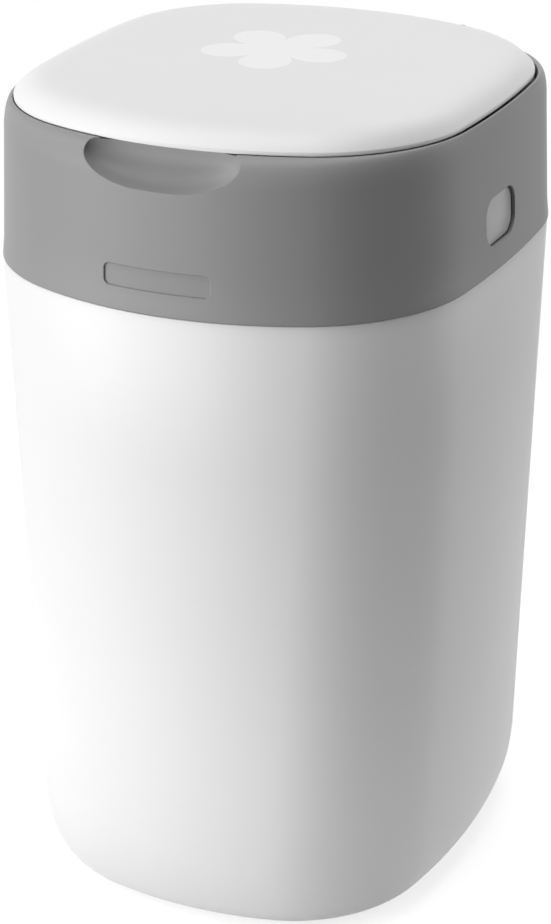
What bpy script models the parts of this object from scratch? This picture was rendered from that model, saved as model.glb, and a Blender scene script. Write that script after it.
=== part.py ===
"""Nappy bin with a twist-wrap head.

A tall tub stands on the floor and carries a head, hinged at the back and held
shut by two sprung release buttons. A crowned lid is hinged to the head. Under
the lid a tray turns in a round well and carries the refill, a ring of pleated
film that is pulled down through the middle and twisted shut above each nappy.

Metres, +Z up. X runs across the bin, the front faces -Y, and the origin is the
middle of the base, on the floor.
"""
import math
from typing import NamedTuple

import bmesh
import bpy
from mathutils import Vector

# Fits
GAP = 0.0003                 # between pieces that touch
RUNNING_GAP = 0.0005         # between pieces that turn or slide on each other
OVERRUN = 0.0020             # how far a cut runs past a face
SINK = 0.0006                # how far a joined form runs into the form that carries it

# Outline of the bin where head and tub meet
BIN_WIDTH = 0.2500
BIN_DEPTH = 0.2892
BIN_CORNER = 0.0884
BIN_SIDE_BULGE = 0.0021
BIN_FRONT_BULGE = 0.0075

# Tub
TUB_HEIGHT = 0.3402          # floor to the line where the head begins
TUB_WALL = 0.0024
TUB_FLOOR = 0.0030
HEAD_OVERHANG = 0.0005       # the head stands this far outside the tub
CREASE_HEIGHT = 0.0422       # the crisp line above the rounded base
CREASE_WIDTH_DRAW = 0.0151   # how much narrower and shorter the tub is there
CREASE_DEPTH_DRAW = 0.0191
CREASE_CORNER = 0.0865
CREASE_SIDE_BULGE = 0.0038
CREASE_FRONT_BULGE = 0.0033
BASE_INSET = 0.0256          # how far the base turns in below the crease
BASE_LEAN = 5.0              # degrees off upright just below the crease, which makes the line crisp
BASE_FULLNESS = 2.6          # 2 is an ellipse, more is a fuller curve
LIP_HEIGHT = 0.0120          # the locating lip that stands up inside the head
LIP_CLEARANCE = 0.0004
LIP_DRAFT = 0.0009
LIP_WALL = 0.0020
KEEPER_REACH = 0.0029        # latch keepers inside the lip
KEEPER_HEIGHT = 0.0025
KEEPER_LENGTH = 0.0180
KEEPER_DROP = 0.0055         # lip top to keeper top

# Head shell
HEAD_HEIGHT = 0.0783         # tub line to rim
HEAD_WALL = 0.0025
HEAD_BAND = 0.0080           # the band at the lower edge that flares out a little
HEAD_BAND_FLARE = 0.0008
HEAD_DRAFT = 0.0030          # total draw-in from the lower edge to the shoulder
HEAD_SKIRT_STRAIGHT = 0.0130  # straight inside wall that passes the tub's lip
SHOULDER_RISE = 0.0143
RIM_WIDTH = 0.0010
POCKET_DEPTH = 0.0075        # rim to the floor of the lid's pocket
LEDGE_THICKNESS = 0.0062
LEDGE_WIDTH = 0.0070
SCOOP_HALF_WIDTH = 0.0405
SCOOP_HALF_DEPTH = 0.0135
SCOOP_DROP = 0.0157          # from its widest height to its bottom
SCOOP_BELOW_RIM = 0.0035     # rim to its widest height
SCOOP_SETBACK = 0.0056       # shoulder face to the scoop's centre
SCOOP_SQUARENESS = 3.0       # of its outline from above, where 2 is an ellipse
SCOOP_WALL_BELOW_RIM = 0.0025
PLATE_WIDTH = 0.0560         # shallow recess on the front
PLATE_HEIGHT = 0.0108
PLATE_CORNER = 0.0030
PLATE_DEPTH = 0.0009
PLATE_ABOVE_LINE = 0.0168    # tub line to the recess's middle

# Lid
LID_SIDE_MARGIN = 0.0059     # from the head's lower edge in to the lid, seen from above
LID_FRONT_MARGIN = 0.0156
LID_BACK_MARGIN = 0.0195
LID_CORNER = 0.0791
LID_SIDE_BULGE = 0.0017
LID_FRONT_BULGE = 0.0071
LID_GAP = 0.0010             # all round, between lid and rim
LID_WALL = 0.0025
LID_ABOVE_RIM = 0.0009       # rim to the lid's lower edge
LID_EDGE_HEIGHT = 0.0015
LID_DOME_REACH = 0.0237      # how far in from the edge the top goes on rising
LID_DOME_RISE = 0.0087
LID_CROWN = 0.0010           # further rise to the middle
LINER_STANDOFF = 0.0020      # pocket floor to the liner's floor
LINER_THICKNESS = 0.0020
LINER_FLANGE = 0.0015
LINER_INSET = 0.0100         # lid's edge to the liner's upright wall
LINER_GAP = 0.0004
SEAL_BEYOND_WELL = 0.0057    # well's wall to the seal's middle
SEAL_WIDTH = 0.0034
SEAL_ROOT_WIDTH = 0.0022
SEAL_ROOT_HEIGHT = 0.0012
LID_AXIS_BEHIND = 0.0048     # lid's rear edge to its hinge axis
LID_AXIS_BELOW_RIM = 0.0010
LID_KNUCKLE_RADIUS = 0.0036
LID_PIN_RADIUS = 0.0015
LID_ARM_PLACE = 0.0380       # bin's middle to the middle of an arm
LID_ARM_WIDTH = 0.0140
LID_ARM_THICKNESS = 0.0021
LID_LUG_WIDTH = 0.0040
LID_LUG_BITE = 0.0030        # least depth of a lug's foot in the shoulder
LID_ARM_ROOT = 0.0073        # how far an arm's root runs in under the liner

# Deck and well, inside the head
DECK_BELOW_POCKET = 0.0010
DECK_THICKNESS = 0.0023
DECK_RIM_LAND = 0.0022
DECK_DISH = 0.0015           # drop from the deck's rim to the seal's land
SEAL_LAND_WIDTH = 0.0055
WELL_MARGIN = 0.0211         # lid's nearest edge to the well's wall
WELL_LIP = 0.0030
WELL_WALL = 0.0023
WELL_DEPTH = 0.0610          # deck top to well floor
WELL_FLOOR = 0.0040
WELL_FLOOR_WIDTH = 0.0360    # well's wall in to its bore

# Screws
SCREW_RADIUS = 0.0015
SCREW_HEAD_RADIUS = 0.0030
SCREW_HEAD_HEIGHT = 0.0020
DECK_SCREW_LENGTH = 0.0070
DECK_SCREW_INSET = 0.0035    # inside the lid's outline
GRIPPER_SCREW_LENGTH = 0.0092
GRIPPER_SCREW_INSET = 0.0160  # inside the well's wall
SCREW_COUNT = 4

# Turning tray, twist ring and click pawl
TRAY_RUNNING_SPACE = 0.0060  # well's wall to the tray
TRAY_WALL = 0.0024
TRAY_FLOOR = 0.0022
TRAY_SPIGOT_WALL = 0.0045
TRAY_BORE_WALL = 0.0022
TRAY_TOP_BELOW_DECK = 0.0090
SPIGOT_GAP = 0.0008          # the tray's spigot in the well's bore
TEETH = 36
TOOTH_HEIGHT = 0.0022
TOOTH_LENGTH = 0.0060
TOOTH_TIP_SHARE = 0.8        # place of a tooth's tip in its pitch
TEETH_ABOVE_FLOOR = 0.0032
RING_WALL_GAP = 0.0010       # well's wall to the twist ring
RING_WIDTH = 0.0078
RING_SCALLOP = 0.0030
RING_SCALLOPS = 10
RING_HEIGHT = 0.0069
RING_SKIRT = 0.0050
RING_SKIRT_WALL = 0.0017
PAWL_THICKNESS = 0.0013
PAWL_CLEARANCE = 0.0007
PAWL_HEIGHT = 0.0050
PAWL_TOOTH = 20              # which root of the ratchet the pawl lies in
PAWL_SPAN = 24.0
PAWL_FOOT_SPAN = 4.0

# Refill cassette
CASSETTE_GAP = 0.0010        # in the tray
CASSETTE_WALL = 0.0015
CASSETTE_HEIGHT = 0.0410
CAP_SLOT = 0.0012            # the slot that the film comes out of
CAP_RISE = 0.0030
CAP_THICKNESS = 0.0015
FILM_PLEATS = 5
FILM_PLEAT_DEPTH = 0.0012
FILM_HEIGHT = 0.0340
FILM_CLEARANCE = 0.0006

# Gripper and film cutter, under the well
FRAME_INSET = 0.0080         # inside the well's wall
FRAME_BEYOND_BORE = 0.0040
FRAME_HEIGHT = 0.0062
GRIP_RIM_BEYOND_BORE = 0.0115
GRIP_RIM_WIDTH = 0.0095
GRIP_RIM_THICKNESS = 0.0018
GRIP_THICKNESS = 0.0012
GRIP_MOUTH_SHARE = 0.516     # of the well's bore
GRIP_DROP = 0.0170
GRIP_FINGERS = 12
GRIP_SLIT = 0.0020
CUTTER_WIDTH = 0.0300
CUTTER_LENGTH = 0.0180
CUTTER_HEIGHT = 0.0080
CUTTER_MOUTH = 0.0140
CUTTER_NOTCH = 0.0120
BLADE_THICKNESS = 0.0006
BLADE_WIDTH = 0.0200
BLADE_LENGTH = 0.0060

# Release buttons
WINDOW_WIDTH = 0.0386
WINDOW_HEIGHT = 0.0235
WINDOW_CORNER = 0.0094
WINDOW_CENTRE_Y = -0.0101
WINDOW_ABOVE_LINE = 0.0263   # tub line to the window's middle
BUTTON_GAP = 0.0006
BUTTON_RECESS = 0.0024
BUTTON_FLANGE = 0.0020       # how far the flange runs past the window, and its thickness
BUTTON_TRAVEL = 0.0040
BUTTON_PEG_LENGTH = 0.0040
PEG_RADIUS = 0.0030
HOOK_WIDTH = 0.0160
HOOK_THICKNESS = 0.0024
HOOK_BARB = 0.0013
HOOK_BARB_HEIGHT = 0.0032
HOOK_BRIDGE = 0.0025
SPRING_RADIUS = 0.0044       # to the middle of the wire
SPRING_WIRE = 0.0009         # wire diameter
SPRING_TURNS = 5
SPRING_LENGTH = 0.0152       # as fitted, between its seats
SPRING_SEAT_RADIUS = 0.0065
SPRING_SEAT_PEG = 0.0050

# Head hinge, at the back
HEAD_KNUCKLE_RADIUS = 0.0045
HEAD_PIN_RADIUS = 0.0020
HEAD_KNUCKLE_WIDTH = 0.0430
TUB_EAR_WIDTH = 0.0090
HEAD_WEB_HEIGHT = 0.0138

# Fineness of the curves, in counts
SIDE_STEPS = 3
CORNER_STEPS = 7
FRONT_STEPS = 3
BASE_STEPS = 7
INNER_BASE_STEPS = 4
TURNED_STEPS = 36
FILM_STEPS = 28
ROD_STEPS = 14
CURL_POINTS = 9
SCOOP_POINTS = 24
SCOOP_STEPS = 6

# Heights that several pieces share
LIP_TOP = TUB_HEIGHT + LIP_HEIGHT
RIM_TOP = TUB_HEIGHT + HEAD_HEIGHT
SHOULDER_FOOT = RIM_TOP - SHOULDER_RISE
POCKET_FLOOR = RIM_TOP - POCKET_DEPTH
LEDGE_UNDERSIDE = POCKET_FLOOR - LEDGE_THICKNESS
LINER_FOOT = POCKET_FLOOR + LINER_STANDOFF
LID_FOOT = RIM_TOP + LID_ABOVE_RIM
LID_SHOULDER = LID_FOOT + LID_EDGE_HEIGHT
DECK_TOP = POCKET_FLOOR - DECK_BELOW_POCKET
SEAL_LAND = DECK_TOP - DECK_DISH
FLANGE_TOP = LEDGE_UNDERSIDE - GAP
FLANGE_UNDERSIDE = FLANGE_TOP - DECK_THICKNESS
WELL_FLOOR_TOP = DECK_TOP - WELL_DEPTH
WELL_UNDERSIDE = WELL_FLOOR_TOP - WELL_FLOOR
TRAY_UNDERSIDE = WELL_FLOOR_TOP + GAP
TRAY_FLOOR_TOP = TRAY_UNDERSIDE + TRAY_FLOOR
TRAY_TOP = DECK_TOP - TRAY_TOP_BELOW_DECK
CASSETTE_UNDERSIDE = TRAY_FLOOR_TOP + GAP
CASSETTE_TOP = CASSETTE_UNDERSIDE + CASSETTE_HEIGHT
FRAME_TOP = WELL_UNDERSIDE - GAP
FRAME_UNDERSIDE = FRAME_TOP - FRAME_HEIGHT
TEETH_FOOT = WELL_FLOOR_TOP + TEETH_ABOVE_FLOOR
WINDOW_HEIGHT_UP = TUB_HEIGHT + WINDOW_ABOVE_LINE


class Section(NamedTuple):
    """A rounded square with bulged sides, level with the floor."""
    width: float
    depth: float
    corner: float
    side_bulge: float
    front_bulge: float
    centre_y: float = 0.0

    def inset(self, distance):
        """The same outline moved inwards all round by a distance."""
        return self._replace(width=self.width - 2 * distance, depth=self.depth - 2 * distance,
                             corner=self.corner - distance)

    def blend(self, other, share):
        """The outline that lies a share of the way to another."""
        return Section(*(a + (b - a) * share for a, b in zip(self, other)))

    def corner_centre(self):
        """Centre of the rear right corner's arc, from the section's own centre."""
        return (self.width / 2 - self.side_bulge - self.corner,
                self.depth / 2 - self.front_bulge - self.corner)

    def outline(self):
        """Points round the outline, from the middle of the right side by way of the back."""
        across, along = self.corner_centre()
        side_radius = (along ** 2 + self.side_bulge ** 2) / (2 * self.side_bulge)
        front_radius = (across ** 2 + self.front_bulge ** 2) / (2 * self.front_bulge)
        side_turn = math.asin(along / side_radius)
        front_turn = math.asin(across / front_radius)
        arcs = (
            (across + self.side_bulge - side_radius, 0.0, side_radius + self.corner,
             0.0, side_turn, SIDE_STEPS),
            (across, along, self.corner,
             side_turn, math.pi / 2 - front_turn, CORNER_STEPS),
            (0.0, along + self.front_bulge - front_radius, front_radius + self.corner,
             math.pi / 2 - front_turn, math.pi / 2, FRONT_STEPS),
        )
        quarter = []
        for x, y, radius, start, end, steps in arcs:
            for step in range(steps):
                angle = start + (end - start) * step / steps
                quarter.append((x + radius * math.cos(angle), y + radius * math.sin(angle)))
        quarter.append((0.0, self.depth / 2))
        back = quarter + [(-x, y) for x, y in reversed(quarter[:-1])]
        front = [(x, -y) for x, y in reversed(back[1:-1])]
        return [(x, y + self.centre_y) for x, y in back + front]

    def ring(self, height):
        """The outline as a ring of points at a height."""
        return [Vector((x, y, height)) for x, y in self.outline()]

    def round_ring(self, radius, height):
        """A circle whose points face this outline's points, for a loft between the two."""
        points = []
        for x, y in self.outline():
            reach = math.hypot(x, y)
            points.append(Vector((x * radius / reach, y * radius / reach, height)))
        return points

    def bow(self, x):
        """How far the front and back walls have curved away at a place across the bin."""
        across, along = self.corner_centre()
        front_radius = (across ** 2 + self.front_bulge ** 2) / (2 * self.front_bulge)
        radius = front_radius + self.corner
        return radius - math.sqrt(radius ** 2 - x ** 2)

    def front_face(self, x):
        """Y of the front wall at a place across the bin."""
        return self.centre_y - self.depth / 2 + self.bow(x)

    def back_face(self, x):
        """Y of the back wall at a place across the bin."""
        return self.centre_y + self.depth / 2 - self.bow(x)


LID_CENTRE_Y = (LID_FRONT_MARGIN - LID_BACK_MARGIN) / 2
BIN = Section(BIN_WIDTH, BIN_DEPTH, BIN_CORNER, BIN_SIDE_BULGE, BIN_FRONT_BULGE)
CREASE = Section(BIN_WIDTH - CREASE_WIDTH_DRAW, BIN_DEPTH - CREASE_DEPTH_DRAW, CREASE_CORNER,
                 CREASE_SIDE_BULGE, CREASE_FRONT_BULGE)
TUB_TOP = BIN.inset(HEAD_OVERHANG)
LID = Section(BIN_WIDTH - 2 * LID_SIDE_MARGIN, BIN_DEPTH - LID_FRONT_MARGIN - LID_BACK_MARGIN,
              LID_CORNER, LID_SIDE_BULGE, LID_FRONT_BULGE, LID_CENTRE_Y)
LID_OPENING = LID.inset(-LID_GAP)
SHOULDER = BIN.inset(HEAD_DRAFT)

# The two hinge axes, as (y, z)
HEAD_AXIS = (BIN_DEPTH / 2 + HEAD_KNUCKLE_RADIUS, TUB_HEIGHT)
LID_AXIS = (LID.back_face(0.0) + LID_AXIS_BEHIND, RIM_TOP - LID_AXIS_BELOW_RIM)

# The round pieces inside the head, all sized from the lid's nearest edge
WELL_RADIUS = min(LID.width / 2, LID.back_face(0.0), -LID.front_face(0.0)) - WELL_MARGIN
WELL_BORE = WELL_RADIUS - WELL_FLOOR_WIDTH
SEAL_RADIUS = WELL_RADIUS + SEAL_BEYOND_WELL
TRAY_RADIUS = WELL_RADIUS - TRAY_RUNNING_SPACE
TRAY_BORE = WELL_BORE - TRAY_SPIGOT_WALL
RING_OUTER_RADIUS = WELL_RADIUS - RING_WALL_GAP
RING_INNER_RADIUS = RING_OUTER_RADIUS - RING_WIDTH
CASSETTE_RADIUS = TRAY_RADIUS - TRAY_WALL - CASSETTE_GAP
FRAME_OUTER_RADIUS = WELL_RADIUS - FRAME_INSET
FRAME_INNER_RADIUS = WELL_BORE + FRAME_BEYOND_BORE
GRIP_RIM_RADIUS = WELL_BORE + GRIP_RIM_BEYOND_BORE
GRIP_RIM_INNER = GRIP_RIM_RADIUS - GRIP_RIM_WIDTH
GRIP_MOUTH_RADIUS = WELL_BORE * GRIP_MOUTH_SHARE
GRIPPER_SCREW_CIRCLE = WELL_RADIUS - GRIPPER_SCREW_INSET


# Materials

def plastic(name, colour, roughness, metallic=0.0):
    """A Principled material in one colour."""
    material = bpy.data.materials.get(name)
    if material is None:
        material = bpy.data.materials.new(name)
        material.use_nodes = True
        shader = material.node_tree.nodes["Principled BSDF"]
        shader.inputs["Base Color"].default_value = (*colour, 1.0)
        shader.inputs["Roughness"].default_value = roughness
        shader.inputs["Metallic"].default_value = metallic
        material.diffuse_color = (*colour, 1.0)
    return material


def tub_white():
    return plastic("tub_polypropylene", (0.86, 0.86, 0.86), 0.42)


def head_grey():
    return plastic("head_polypropylene", (0.30, 0.30, 0.30), 0.45)


def lid_white():
    return plastic("lid_polypropylene", (0.82, 0.82, 0.82), 0.38)


def button_grey():
    return plastic("button_abs", (0.42, 0.42, 0.42), 0.40)


def deck_grey():
    return plastic("deck_polypropylene", (0.62, 0.62, 0.62), 0.45)


def soft_grey():
    return plastic("soft_elastomer", (0.20, 0.20, 0.21), 0.70)


def cassette_white():
    return plastic("cassette_polystyrene", (0.74, 0.76, 0.76), 0.35)


def film_blue():
    return plastic("film_polyethylene", (0.60, 0.70, 0.76), 0.30)


def steel():
    return plastic("steel", (0.62, 0.62, 0.64), 0.28, 1.0)


# Solids and how they are joined

def circle(radius, steps, centre=(0.0, 0.0)):
    """Points round a circle in a plane."""
    turns = [2 * math.pi * step / steps for step in range(steps)]
    return [(centre[0] + radius * math.cos(turn), centre[1] + radius * math.sin(turn))
            for turn in turns]


def arc(centre, radius, start, end, steps):
    """Points along an arc in a plane, both ends included, angles in degrees."""
    points = []
    for step in range(steps + 1):
        turn = math.radians(start + (end - start) * step / steps)
        points.append((centre[0] + radius * math.cos(turn), centre[1] + radius * math.sin(turn)))
    return points


def rounded_rectangle(width, height, corner, centre, steps):
    """A rectangle with round corners in a plane."""
    across, up = width / 2 - corner, height / 2 - corner
    places = ((across, up, 0), (-across, up, 90), (-across, -up, 180), (across, -up, 270))
    points = []
    for x, y, start in places:
        points += arc((centre[0] + x, centre[1] + y), corner, start, start + 90, steps)
    return points


def stand(outline, axis, place):
    """Points of a flat outline, set across an axis at a place along it."""
    if axis == "X":
        return [Vector((place, u, v)) for u, v in outline]
    if axis == "Y":
        return [Vector((u, place, v)) for u, v in outline]
    return [Vector((u, v, place)) for u, v in outline]


def skin(bm, rings, closed=False):
    """Join rings of points into a skin, capped at both ends or run back to the first."""
    rows = [[bm.verts.new(point) for point in ring] for ring in rings]
    pairs = list(zip(rows, rows[1:]))
    if closed:
        pairs.append((rows[-1], rows[0]))
    for lower, upper in pairs:
        count = len(lower)
        for index in range(count):
            after = (index + 1) % count
            bm.faces.new((lower[index], lower[after], upper[after], upper[index]))
    if not closed:
        bm.faces.new(rows[0])
        bm.faces.new(rows[-1])


def bar(bm, outline, axis, start, end):
    """A straight bar of one outline along an axis."""
    skin(bm, [stand(outline, axis, start), stand(outline, axis, end)])


def solid(name, bm, material, smooth_angle=35.0):
    """Make a named object of a mesh, faces outwards, round faces shaded smooth."""
    bmesh.ops.recalc_face_normals(bm, faces=bm.faces)
    mesh = bpy.data.meshes.new(name)
    bm.to_mesh(mesh)
    bm.free()
    mesh.materials.append(material)
    mesh.shade_smooth()
    mesh.set_sharp_from_angle(angle=math.radians(smooth_angle))
    made = bpy.data.objects.new(name, mesh)
    bpy.context.scene.collection.objects.link(made)
    return made


def loft(name, rings, material, closed=False):
    """A solid skinned over rings of points."""
    bm = bmesh.new()
    skin(bm, rings, closed)
    return solid(name, bm, material)


def turned(name, profile, material, steps=TURNED_STEPS):
    """A ring turned about the bin's axis from a closed profile of (radius, height)."""
    rings = [stand(circle(radius, steps), "Z", height) for radius, height in profile]
    return loft(name, rings, material, closed=True)


def bars(name, pieces, material):
    """One object of separate bars, each (outline, axis, start, end)."""
    bm = bmesh.new()
    for outline, axis, start, end in pieces:
        bar(bm, outline, axis, start, end)
    return solid(name, bm, material)


def guide(tool):
    """Hide a form that only shapes another."""
    tool.hide_render = True
    tool.display_type = "WIRE"
    return tool


def shape(target, tool, operation):
    """Cut a form out of a solid, or join it on."""
    step = target.modifiers.new(f"{operation.lower()}_{tool.name}", "BOOLEAN")
    step.operation = operation
    step.solver = "EXACT"
    step.object = guide(tool)


def place_on(thing, parent):
    """Carry a piece on the empty that marks its joint, where it stands."""
    thing.parent = parent
    thing.matrix_parent_inverse = parent.matrix_world.inverted()


def joint_empty(name, location, parent=None):
    """An empty on a joint's axis."""
    empty = bpy.data.objects.new(name, None)
    bpy.context.scene.collection.objects.link(empty)
    empty.location = location
    bpy.context.view_layer.update()
    if parent is not None:
        place_on(empty, parent)
        bpy.context.view_layer.update()
    return empty


# Tub

def base_curl(outer, height, depth, steps):
    """Sections of a base that turns in below a crease, from the floor up: a lean and a curve."""
    lean = math.tan(math.radians(BASE_LEAN))
    power = 2 / BASE_FULLNESS
    rows = []
    for step in range(steps):
        turn = math.pi / 2 * (1 - step / steps)
        drop = depth * math.sin(turn) ** power
        curve = 1 - math.cos(turn) ** power
        drawn = lean * drop + (BASE_INSET - lean * depth) * curve
        rows.append((outer.inset(drawn), height - drop))
    return rows


def tub_ear_outline(wall_face):
    """One ear of the tub for the head hinge: a knuckle on a web below the axis."""
    y, z = HEAD_AXIS
    radius = HEAD_KNUCKLE_RADIUS
    foot = z - HEAD_WEB_HEIGHT
    knuckle = arc(HEAD_AXIS, radius, 186, -60, ROD_STEPS)
    return [(wall_face, foot), (wall_face, knuckle[0][1])] + knuckle + [(y - radius, foot)]


def make_tub():
    inner_crease = CREASE.inset(TUB_WALL)
    lip_foot = BIN.inset(HEAD_WALL + LIP_CLEARANCE)
    lip_end = lip_foot.inset(LIP_DRAFT)
    lip_inner = lip_foot.inset(LIP_DRAFT + LIP_WALL)
    shelf = TUB_HEIGHT - GAP
    rows = base_curl(CREASE, CREASE_HEIGHT, CREASE_HEIGHT, BASE_STEPS)
    rows += [(CREASE, CREASE_HEIGHT), (TUB_TOP, shelf), (lip_foot, shelf),
             (lip_end, LIP_TOP), (lip_inner, LIP_TOP), (lip_inner, shelf - LIP_WALL),
             (TUB_TOP.inset(TUB_WALL), shelf - LIP_HEIGHT), (inner_crease, CREASE_HEIGHT)]
    inner = base_curl(inner_crease, CREASE_HEIGHT, CREASE_HEIGHT - TUB_FLOOR, INNER_BASE_STEPS)
    rows += list(reversed(inner))
    tub = loft("tub", [section.ring(height) for section, height in rows], tub_white())

    # Keepers under the lip for the latch hooks
    keeper_top = LIP_TOP - KEEPER_DROP
    lip_face = lip_inner.width / 2
    keeper = []
    for side in (1, -1):
        ends = sorted((side * (lip_face + SINK), side * (lip_face - KEEPER_REACH)))
        outline = rounded_rectangle(KEEPER_LENGTH, KEEPER_HEIGHT, KEEPER_HEIGHT / 4,
                                    (WINDOW_CENTRE_Y, keeper_top - KEEPER_HEIGHT / 2), 1)
        keeper.append((outline, "X", *ends))
    shape(tub, bars("tub_keepers", keeper, tub_white()), "UNION")

    # Ears for the head hinge
    ear_inner = HEAD_KNUCKLE_WIDTH / 2 + RUNNING_GAP
    ear_outer = ear_inner + TUB_EAR_WIDTH
    wall_face = TUB_TOP.back_face(ear_inner) - TUB_WALL + SINK / 2
    outline = tub_ear_outline(wall_face)
    ears = [(outline, "X", ear_inner, ear_outer), (outline, "X", -ear_outer, -ear_inner)]
    shape(tub, bars("tub_ears", ears, tub_white()), "UNION")
    bore = circle(HEAD_PIN_RADIUS + GAP, ROD_STEPS, HEAD_AXIS)
    shape(tub, bars("tub_ear_bore", [(bore, "X", -ear_outer - OVERRUN, ear_outer + OVERRUN)],
                    tub_white()), "DIFFERENCE")

    pin = circle(HEAD_PIN_RADIUS, ROD_STEPS, HEAD_AXIS)
    bars("head_hinge_pin", [(pin, "X", -ear_outer, ear_outer)], steel())
    return tub


# Head shell

def scoop_bowl(name, grow, top):
    """The finger scoop's hollow, grown by a wall or a clearance: a bowl that runs up to a height."""
    width, depth, drop = (size + grow for size in (SCOOP_HALF_WIDTH, SCOOP_HALF_DEPTH, SCOOP_DROP))
    centre_y = SHOULDER.front_face(0.0) + SCOOP_SETBACK
    widest = RIM_TOP - SCOOP_BELOW_RIM
    power = 2 / SCOOP_SQUARENESS
    plan = []
    for x, y in circle(1.0, SCOOP_POINTS):
        plan.append((math.copysign(abs(x) ** power, x), math.copysign(abs(y) ** power, y)))
    rows = []
    for step in range(1, SCOOP_STEPS + 1):
        turn = math.pi / 2 * (1 - step / SCOOP_STEPS)
        rows.append((math.cos(turn), widest - drop * math.sin(turn)))
    rings = []
    for share, height in rows + [(1.0, top)]:
        rings.append([Vector((x * width * share, centre_y + y * depth * share, height))
                      for x, y in plan])
    return loft(name, rings, head_grey())


def window_outline(grow):
    """A release button's window, grown or shrunk all round, as (y, z)."""
    return rounded_rectangle(WINDOW_WIDTH + 2 * grow, WINDOW_HEIGHT + 2 * grow,
                             WINDOW_CORNER + grow, (WINDOW_CENTRE_Y, WINDOW_HEIGHT_UP), 3)


def deck_screw_places():
    """Where the deck's screws stand, near the four corners of the lid's pocket."""
    line = LID.inset(DECK_SCREW_INSET)
    across, along = line.corner_centre()
    reach = line.corner * math.sqrt(0.5)
    x, y = across + reach, along + reach
    return [(x, LID_CENTRE_Y + y), (-x, LID_CENTRE_Y + y),
            (-x, LID_CENTRE_Y - y), (x, LID_CENTRE_Y - y)]


def lid_arm_spans():
    """The two arms' spans across the bin, left and right."""
    inner = LID_ARM_PLACE - LID_ARM_WIDTH / 2
    outer = LID_ARM_PLACE + LID_ARM_WIDTH / 2
    return [(-outer, -inner), (inner, outer)]


def head_knuckle_outline():
    """The head's hinge knuckle: a barrel on a web above the axis."""
    y, z = HEAD_AXIS
    wall = BIN_DEPTH / 2 - HEAD_WALL + SINK
    barrel = arc(HEAD_AXIS, HEAD_KNUCKLE_RADIUS, 174, 420, ROD_STEPS)
    return ([(wall, barrel[0][1])] + barrel
            + [(y - HEAD_KNUCKLE_RADIUS, z + HEAD_WEB_HEIGHT), (wall, z + HEAD_WEB_HEIGHT)])


def shoulder_outline(turn):
    """The head's outline on its shoulder, at an angle from upright to level."""
    rim = LID_OPENING.inset(-RIM_WIDTH)
    return SHOULDER.blend(rim, 1 - math.cos(turn))


def lid_lug_outline():
    """A lug for the lid's hinge: a barrel on a foot sunk in the shoulder, as (y, z)."""
    y, z = LID_AXIS
    foot = LINER_FOOT
    outer_side = LID_ARM_PLACE + LID_ARM_WIDTH / 2 + RUNNING_GAP + LID_LUG_WIDTH
    outline = shoulder_outline(math.asin((foot - SHOULDER_FOOT) / SHOULDER_RISE))
    front = min(y - LID_KNUCKLE_RADIUS, outline.back_face(outer_side) - LID_LUG_BITE)
    return (arc(LID_AXIS, LID_KNUCKLE_RADIUS, 0, 180, ROD_STEPS // 2)
            + [(front, foot), (y + LID_KNUCKLE_RADIUS, foot)])


def plate_cutter():
    """The plate recess, its floor parallel to the front wall."""
    centre = (0.0, TUB_HEIGHT + PLATE_ABOVE_LINE)
    outline = rounded_rectangle(PLATE_WIDTH, PLATE_HEIGHT, PLATE_CORNER, centre, 3)
    front = -BIN_DEPTH / 2
    block = bars("plate_recess", [(outline, "Y", front - OVERRUN, front + BIN_FRONT_BULGE)],
                 head_grey())
    walls = ((BIN.inset(HEAD_BAND_FLARE), TUB_HEIGHT + HEAD_BAND), (SHOULDER, SHOULDER_FOOT))
    floor = loft("plate_floor", [wall.inset(PLATE_DEPTH).ring(height) for wall, height in walls],
                 head_grey())
    shape(block, floor, "DIFFERENCE")
    return block


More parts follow.
